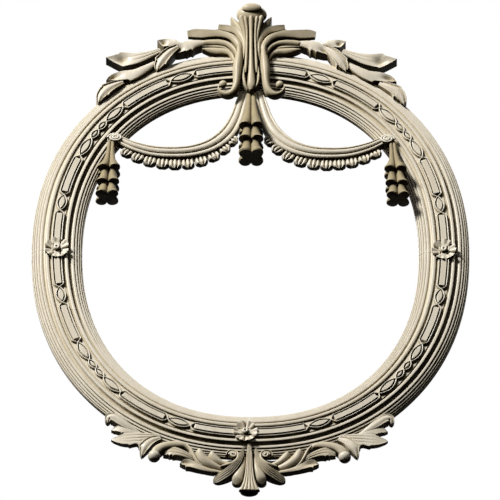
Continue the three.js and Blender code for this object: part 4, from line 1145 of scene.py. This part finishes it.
# %% The tassels
SIDE_TIERS = [(0, 0.3), (0.1, 0.32), (0.2, 0.36), (0.34, 0.5), (0.46, 0.78), (0.515, 0.98), (0.535, 0.98),
              (0.546, 0.9), (0.55, 0.62), (0.6, 0.66), (0.7, 0.78), (0.755, 0.98), (0.78, 1), (0.79, 0.92),
              (0.794, 0.62), (0.85, 0.68), (0.93, 0.82), (0.97, 0.98), (0.99, 1), (1, 0.94)]
CENTRE_TIERS = [(0, 0.36), (0.16, 0.4), (0.3, 0.5), (0.42, 0.64), (0.52, 0.8), (0.58, 0.98), (0.6, 0.97),
                (0.608, 0.9), (0.612, 0.62), (0.66, 0.66), (0.74, 0.8), (0.775, 0.98), (0.79, 1),
                (0.8, 0.92), (0.804, 0.62), (0.86, 0.68), (0.93, 0.82), (0.965, 0.98), (0.985, 1), (1, 0.94)]
LOBE_AT, LOBE_RADIUS, LOBES_ACROSS = 0.68, 0.5, 0.98
# The tassels are painted darker all over, as painted shade.
SEAT_RATE, TASSEL_BACK, TASSEL_SHADE = 1.6, 1.0, 0.5


def four_strands(count):
    """Outline of two strands by two, as far as 1 across, with its first point repeated at the end."""
    turn = np.linspace(0, 2 * math.pi, count + 1)
    from_lobe = turn % (math.pi / 2) - math.pi / 4
    radius = LOBE_AT * np.cos(from_lobe) + np.sqrt(LOBE_RADIUS**2 - (LOBE_AT * np.sin(from_lobe)) ** 2)
    return np.column_stack([radius * np.cos(turn), radius * np.sin(turn)]) / LOBES_ACROSS


def tassel(x, top, length, width, depth, lean, tiers, back_top, sides=96):
    """A tube with rings at the tiers, closed at both ends. Its back lies at back_top first, then lower."""
    share, size = np.array(tiers).T
    seat = np.minimum(1, SEAT_RATE * share)
    middle = (1 - seat) * (back_top + size * depth / 2) + seat * (TASSEL_BACK + depth / 2)
    ring = four_strands(sides)
    points = np.empty((len(tiers), sides + 1, 3))
    points[..., 0] = (x + lean * share)[:, None] + size[:, None] * width / 2 * ring[None, :, 0]
    points[..., 1] = (top - length * share)[:, None]
    points[..., 2] = middle[:, None] + size[:, None] * depth / 2 * ring[None, :, 1]
    made = bent_grid(points)
    edit(pick_none, bpy.ops.mesh.select_non_manifold, lambda: bpy.ops.mesh.fill_holes(sides=0),
         pick_all, face_outwards)
    return made


def side_tassel(side, lean):
    """A tassel under a knot, leaning outwards."""
    return tassel(
        x=side * (KNOT_X + lean), top=KNOT_Y - KNOT_RADII[1] + 2, length=104, width=34, depth=38,
        lean=side * lean, tiers=SIDE_TIERS, back_top=KNOT_Z - 5.5)


tassels = {"right": side_tassel(1, 8.0), "left": side_tassel(-1, 5.5)}
tassels["centre"] = tassel(
    x=0, top=SIGHT_TOP - 0.6, length=130, width=37, depth=43, lean=0, tiers=CENTRE_TIERS, back_top=2.0)
for name, piece in tassels.items():
    finished(stood_up(piece), f"tassel_{name}", shade=TASSEL_SHADE)
print("Tassels:", len(tassels))

# %% [markdown]
# ## Rosettes
# Three rosettes sit on the crown, at both sides and at the bottom. Each has open petals with notched ends
# round a dimpled button. One petal could be copied round the middle, but real petals grow together. So a
# rosette is a grid in rings: each ring knows how far it is from the middle, and each spoke how far it is
# from the middle of its petal.

# %% Carve the rosettes
PETALS, ROSETTE_RADIUS, BUTTON_RADIUS = 6, 18.2, 5.6
ROSETTE_BACK, PETAL_LOW, PETAL_HIGH, PETAL_POWER = 16, 18.5, 23.6, 0.8
PETAL_NECK, PETAL_CLOSED, PETAL_ROUND = 0.8, 0.97, 2.6
NOTCH_DEPTH, NOTCH_WIDTH = 0.08, 0.16
CUT_DEPTH, CUT_START, CUT_POWER, PETAL_FOLD = 4.5, 0.4, 6, 1.4
BUTTON_TOP, BUTTON_FALL, BUTTON_CLOSED, BUTTON_ROUND = 27, 6, 0.98, 2.4
DIMPLE_DEPTH, DIMPLE_WIDTH = 3.4, 0.3
RINGS, SPOKES = 26, 144


def rosette(x, y, turned):
    """A rosette on the bench, turned by a share of a petal."""
    turn = np.linspace(0, 2 * math.pi, SPOKES + 1)
    side = np.abs(((turn * PETALS / (2 * math.pi) + turned) % 1) - 0.5) * 2
    closing = np.sqrt(1 - PETAL_CLOSED * side**PETAL_ROUND)
    edge = ROSETTE_RADIUS * (PETAL_NECK + (1 - PETAL_NECK) * closing)
    edge = edge * (1 - NOTCH_DEPTH * np.exp(-((side / NOTCH_WIDTH) ** 2)))
    radius = np.linspace(0, 1, RINGS + 1)[:, None] * edge[None, :]
    petal = np.clip((radius - BUTTON_RADIUS) / (ROSETTE_RADIUS - BUTTON_RADIUS), 0, 1)
    cup = PETAL_LOW + (PETAL_HIGH - PETAL_LOW) * petal**PETAL_POWER
    cut = CUT_DEPTH * petal**CUT_START * side[None, :] ** CUT_POWER
    height = cup - cut + PETAL_FOLD * petal * np.sin(math.pi * side)[None, :] ** 2
    inner = np.clip(radius / BUTTON_RADIUS, 0, 1)
    dimple = DIMPLE_DEPTH * np.exp(-((inner / DIMPLE_WIDTH) ** 2))
    button = BUTTON_TOP - BUTTON_FALL * (1 - np.sqrt(1 - BUTTON_CLOSED * inner**BUTTON_ROUND)) - dimple
    points = np.empty((RINGS + 1, SPOKES + 1, 3))
    points[..., 0] = x + radius * np.cos(turn)
    points[..., 1] = y + radius * np.sin(turn)
    points[..., 2] = np.where(radius < BUTTON_RADIUS, button, height)
    return shell(points, ROSETTE_BACK)


for name, turned in (("right", 0.3), ("left", 0.0), ("bottom", 0.55)):
    low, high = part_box(f"rosette_{name}")
    middle = (low + high) / 2 / MM
    finished(stood_up(rosette(middle.x, middle.z, turned)), f"rosette_{name}")
print("Rosettes are placed")

# %% [markdown]
# ## Base
# Under the frame hangs a second palmette with a bell-shaped end, petals to both sides, fingers that grip
# the moulding, a scroll with a ball and a last spray. It could be a mirror image of the crest, but the real
# one is smaller and lies flatter, so its leaves have traced rows of their own. Its middle is painted a
# little darker all over, as the crest is.

# %% The palmette of the base
BASE_SHIFT, BASE_AXIS = -0.1, 249.25
BASE_SHADE = 0.14


def base_leaf(rows, **options):
    """A leaf of the base, traced in the picture."""
    return carve(traced(rows, BASE_SHIFT), **options)


bell = [(249.25, 443.5, 2.6, 18.5), (249.25, 455, 4.4, 20), (249.25, 468, 6, 20.5),
        (249.25, 478, 8.6, 20.5), (249.25, 484, 12, 20.5), (249.25, 488, 15.4, 20)]
drop_petal = [(254.2, 456, 2.4, 14), (256.8, 466, 4.8, 18), (260.6, 475, 7.6, 17.5), (262.6, 483.4, 8.2, 11)]
spoon = [(255.4, 448, 2.2, 16), (258, 456, 4, 20), (262, 462.2, 5.6, 21.5), (269, 469, 7.6, 19),
         (277.5, 474.8, 8.2, 12.5), (285, 480.6, 5.4, 5)]
keel = [(0, -RIM_TOP + 14, 8, 11), (0, -RIM_TOP - 21, 9, 12), (0, -RIM_TOP - 46, 11, 12)]
palmette = [base_leaf(bell, section=reeded(5, 0.2), tip="cut", base=12, across=50, steps=36),
            ball((0, -RIM_TOP - 64.5, 9.5), (13.6, 5, 9.5), rings=20),
            carve(keel, steps=16)]
for rows, options in ((drop_petal, {"section": cushioned, "base": 2}),
                      (spoon, {"section": reeded(5, 0.14), "tip_section": reeded(5, 0.2), "across": 40})):
    palmette += [base_leaf(side, **options) for side in (rows, other_side(rows, BASE_AXIS))]
print("Shells of the base palmette:", len(palmette))
finished(stood_up(joined(palmette)), "base_palmette", shade=BASE_SHADE)

# %% The scrolls of the base and their balls
scroll = [
    base_leaf([(264, 461.4, 4, 6), (274, 463, 6, 6), (286, 461, 8, 6), (298, 456, 8, 6), (308, 449, 4, 6)],
              section=flattened),
    base_leaf([(272.6, 454.4, 1.2, 16), (270.6, 450.6, 1.7, 17.5), (265.6, 449.2, 2, 18.5),
               (261, 451.8, 2.6, 19), (261, 456.8, 3.2, 20), (265.8, 461, 3.6, 20), (272, 463.4, 3.2, 19),
               (278, 465.4, 2, 17)],
              base=4, steps=48),
    base_leaf([(268, 464.5, 3, 10), (275, 462, 5, 14), (281, 458.6, 7, 17), (285.4, 454.4, 7.4, 18.5),
               (287.2, 450.2, 5.6, 18.5)]),
    base_leaf([(272, 468.5, 3.4, 9), (281, 465.2, 6.4, 14), (289.4, 461, 8.6, 18), (295.8, 456, 9, 20),
               (298.6, 450.6, 7.4, 20.5), (298.9, 447.4, 5.4, 19.5)]),
    base_leaf([(284, 471, 2, 10), (293, 467.6, 2.6, 14), (300, 461.5, 3.2, 17), (304.4, 454.5, 3.6, 18),
               (308, 448, 3.4, 18), (312.4, 443.6, 2.2, 17)]),
    base_leaf([(271, 472, 2, 8), (281, 470.4, 2.6, 13), (292, 468.4, 3.6, 15), (302, 465, 5.2, 17),
               (311, 462, 6.4, 17), (318.4, 463, 1.4, 15)],
              section=cushioned, tip_section=hollowed, tip="point", base=4, scoop=3.0,
              barbs=[(0.84, -1, 2.6)]),
    base_leaf([(302, 460, 2, 14), (311, 454.6, 5, 18), (321, 451, 6.8, 19), (329, 450.6, 7, 18),
               (335, 454.6, 1.6, 15)],
              section=reeded(3, 0.14), tip_section=hollowed, across=30, tip="point", base=4,
              barbs=[(0.6, -1, 2), (0.85, -1, 3)]),
    base_leaf([(306, 453, 1.6, 14), (310, 447.6, 2.8, 16), (315, 444, 4.2, 18), (325, 443.2, 5.6, 20),
               (335, 445, 6.2, 21.5), (341.6, 449, 6.8, 22), (343.4, 454.4, 6, 21)],
              section=cushioned, base=4, steps=44),
]
curl_x, curl_y, _, curl_z = traced([(265.7, 454.2, 0, 16)], BASE_SHIFT)[0]
scroll.append(coil((curl_x, curl_y), (5.6, 5.6), height=curl_z, turns=1.6, cord=1.5, steps=60))
scroll.append(ball((curl_x, curl_y, curl_z - 4), (4.6, 4.6, 5), rings=14))
both_sides(scroll, "base_scroll", BASE_SHADE)
ball_low, ball_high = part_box("ball_drop_right")
ball_middle = (ball_low + ball_high) / 2 / MM
BALL_HEIGHT, BALL_RADIUS = 14, 9.3
both_sides([ball((ball_middle.x, ball_middle.z, BALL_HEIGHT), [BALL_RADIUS] * 3, rings=24)], "ball_drop")

# %% The last sprays of the base
strip = [(*(float(v) for v in on_oval(angle, HALF_MOULDING)), 4.6, 9)
         for angle in (-66.6, -63, -60.5, -57, -54)]
base_spray = [
    carve(strip, section=flattened),
    base_leaf([(338, 437.6, 4, 15), (347, 440.4, 7, 18.5), (353.4, 446.6, 7.6, 19), (356.8, 457, 1.4, 14)],
              section=lipped, tip="point", base=6, across=28, barbs=[(0.7, 1, 2.5)]),
    base_leaf([(338, 437, 5, 15), (350, 437.6, 8.4, 17), (363, 438.4, 10.4, 18), (375, 439.6, 9, 17),
               (387, 440.6, 1.6, 14)],
              section=reeded(4, 0.16), tip_section=hollowed, tip="point", base=8, across=34,
              barbs=[(0.45, -1, 2.5), (0.66, -1, 3), (0.74, 1, 2.4)]),
    base_leaf([(356, 435, 3, 14), (367, 431.4, 5.6, 17), (377, 429, 6.6, 17.5), (387, 431, 1.4, 14)],
              section=cushioned, tip_section=hollowed, tip="point", base=6, barbs=[(0.65, -1, 2)]),
    base_leaf([(358, 434.6, 3, 14), (368, 428, 5.2, 18), (377, 422, 6.8, 20), (384.6, 417.4, 7.2, 20.5),
               (389.6, 418, 6, 19), (390.8, 423.6, 2, 16)],
              section=cushioned, tip_section=lipped, base=6, steps=36, across=26),
]
both_sides(base_spray, "base_spray")

# %% [markdown]
# ## The back
# Nobody carves the back. The back frame, the cleats and the metal fittings could be modelled again, but
# their solids have the right shape already. So each is a copy of its solid, merged and with its edges eased
# by a bevel, as a file or sandpaper would leave them.

# %% Ease the edges of the plain pieces
EASED = {"back_arc": ("back_wood", 0.8), "crest_cleat": ("back_wood", 1.2), "base_cleat": ("back_wood", 1.2),
         "turn_button": ("brass", 0.5), "hanger_strap": ("brass", 0.2), "wall_bumper": ("rubber", 1.4)}
FLAT_ANGLE, SHARP_ANGLE, SMOOTH_ANGLE, BEVEL_STEPS = math.radians(1), math.radians(40), 35, 3


def eased(cad_node, slot, width):
    """A copy of a solid with its flat faces made whole and its sharp edges rounded."""
    copy = bpy.data.objects.new(cad_node, frame["nodes"][cad_node].data.copy())
    bpy.context.scene.collection.objects.link(copy)
    only(copy)
    edit(pick_all, merge_doubles,
         lambda: bpy.ops.mesh.dissolve_limited(angle_limit=FLAT_ANGLE), face_outwards)
    bevel = copy.modifiers.new("eased", "BEVEL")
    bevel.width, bevel.segments = width * MM, BEVEL_STEPS
    bevel.limit_method, bevel.angle_limit = "ANGLE", SHARP_ANGLE
    bpy.ops.object.modifier_apply(modifier="eased")
    return finished(copy, cad_node, slot, angle=SMOOTH_ANGLE)


plain = [name for name in frame["nodes"] if name.startswith(tuple(EASED)) and "screw" not in name]
for name in plain:
    eased(name, *next(finish for start, finish in EASED.items() if name.startswith(start)))
print("Eased pieces:", len(plain))

# %% [markdown]
# ## Screws and rings
# The screws have domed heads with a slot. A head could be spun from its outline, but a cylinder is quicker:
# its rear rim is bevelled, and its front is inset and extruded into the shank. A thin box cuts the slot.
# Each ring is a round wire bent to a D, as it is on the real hanger.

# %% Slotted screws
HEAD_HEIGHT, HEAD_SIDES, HEAD_BEVEL, HEAD_STEPS = 1.5, 40, 0.9, 4
SHANK_RADIUS, SLOT_WIDTH, SLOT_DEPTH, SLOT_LENGTH = 2.0, 1.1, 0.9, 2.4
FACING, SLOT_TURN = 0.9, 0.7


def pick_faces(piece, wanted):
    """Select the faces whose normal passes a test."""
    edit(lambda: bpy.ops.mesh.select_mode(type="FACE"), pick_none)
    for face in piece.data.polygons:
        face.select = wanted(face.normal)


def screw(cad_node, slot_turn):
    """A slotted screw where its solid is."""
    low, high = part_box(cad_node)
    radius, rear = (high.x - low.x) / 2, high.y
    centre = Vector(((low.x + high.x) / 2, rear, (low.z + high.z) / 2))
    deselect()
    bpy.ops.mesh.primitive_cylinder_add(
        vertices=HEAD_SIDES, radius=radius, depth=HEAD_HEIGHT * MM, rotation=(math.pi / 2, 0, 0),
        location=centre - Vector((0, HEAD_HEIGHT * MM / 2, 0)))
    made = bpy.context.object
    bpy.ops.object.transform_apply(location=True, rotation=True, scale=True)
    pick_faces(made, lambda normal: normal.y > FACING)
    edit(lambda: bpy.ops.mesh.bevel(offset=HEAD_BEVEL * MM, segments=HEAD_STEPS, affect="EDGES"))
    pick_faces(made, lambda normal: normal.y < -FACING)
    edit(
        lambda: bpy.ops.mesh.inset(thickness=radius - SHANK_RADIUS * MM),
        lambda: bpy.ops.mesh.extrude_region_move(
            TRANSFORM_OT_translate={"value": (0, low.y - rear + HEAD_HEIGHT * MM, 0)}))
    deselect()
    bpy.ops.mesh.primitive_cube_add(size=1, location=centre, rotation=(0, slot_turn, 0))
    cutter = bpy.context.object
    cutter.scale = (SLOT_LENGTH * radius, 2 * SLOT_DEPTH * MM, SLOT_WIDTH * MM)
    only(made)
    cut = made.modifiers.new("slot", "BOOLEAN")
    cut.operation, cut.object, cut.solver = "DIFFERENCE", cutter, "EXACT"
    bpy.ops.object.modifier_apply(modifier="slot")
    bpy.data.objects.remove(cutter)
    return finished(made, cad_node, "steel", angle=SMOOTH_ANGLE)


screws = [name for name in frame["nodes"] if "screw" in name]
for count, name in enumerate(screws):
    screw(name, SLOT_TURN * count)
print("Screws:", len(screws))

# %% Rings of the hangers
RING_WIRE, RING_CORNER = 1.0, 3.0
BOW_SPOTS, CORNER_SPOTS = 25, 7


def ring(cad_node):
    """A closed D of wire: a bar through the strap, two sides and a round end."""
    low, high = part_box(cad_node)
    left, right = low.x / MM + RING_WIRE, high.x / MM - RING_WIRE
    top, bottom = high.z / MM - RING_WIRE, low.z / MM + RING_WIRE
    middle, half = (left + right) / 2, (right - left) / 2
    height = (BENCH_IN_ROOM - (low.y + high.y) / 2) / MM
    bow = np.linspace(0, -math.pi, BOW_SPOTS)
    corner = np.linspace(math.pi, math.pi / 2, CORNER_SPOTS)
    spots = [(middle + half * math.cos(turn), bottom + half + half * math.sin(turn)) for turn in bow]
    spots += [(left + RING_CORNER * (1 + math.cos(turn)), top + RING_CORNER * (math.sin(turn) - 1))
              for turn in corner]
    spots += [(2 * middle - x, y) for x, y in reversed(spots[-len(corner):])]
    bent = wire([(*spot, height) for spot in spots], RING_WIRE, closed=True)
    return finished(stood_up(bent), cad_node, "brass")


rings = [ring(f"hanger_ring_{side}") for side in ("right", "left")]
print("Rings:", len(rings))

# %% [markdown]
# ## Floor
# A pale disc under the frame catches its shadow. It could be a large box, but the camera stands lower than
# the floor, so the disc is clear when it is seen from below, and it throws no light up at the carving.

# %% The floor
FLOOR_RADIUS, FLOOR_SIDES = 2.2, 96
under = (0, 0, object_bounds()[0].z)
deselect()
bpy.ops.mesh.primitive_circle_add(vertices=FLOOR_SIDES, radius=FLOOR_RADIUS, fill_type="NGON", location=under)
floor = bpy.context.object
floor.name = "floor"
floor.visible_diffuse = False
floor_paint, tree, shader = new_material("pale_floor", Base_Color=(0.86, 0.86, 0.85, 1), Roughness=0.9)
clear = node(tree, "ShaderNodeBsdfTransparent")
facing = node(tree, "ShaderNodeNewGeometry")
pick = node(tree, "ShaderNodeMixShader")
tree.links.new(facing.outputs["Backfacing"], pick.inputs[0])
tree.links.new(shader.outputs[0], pick.inputs[1])
tree.links.new(clear.outputs[0], pick.inputs[2])
tree.links.new(pick.outputs[0], tree.nodes["Material Output"].inputs["Surface"])
floor.data.materials.append(floor_paint)
print("Height of the floor, m:", round(under[2], 3))
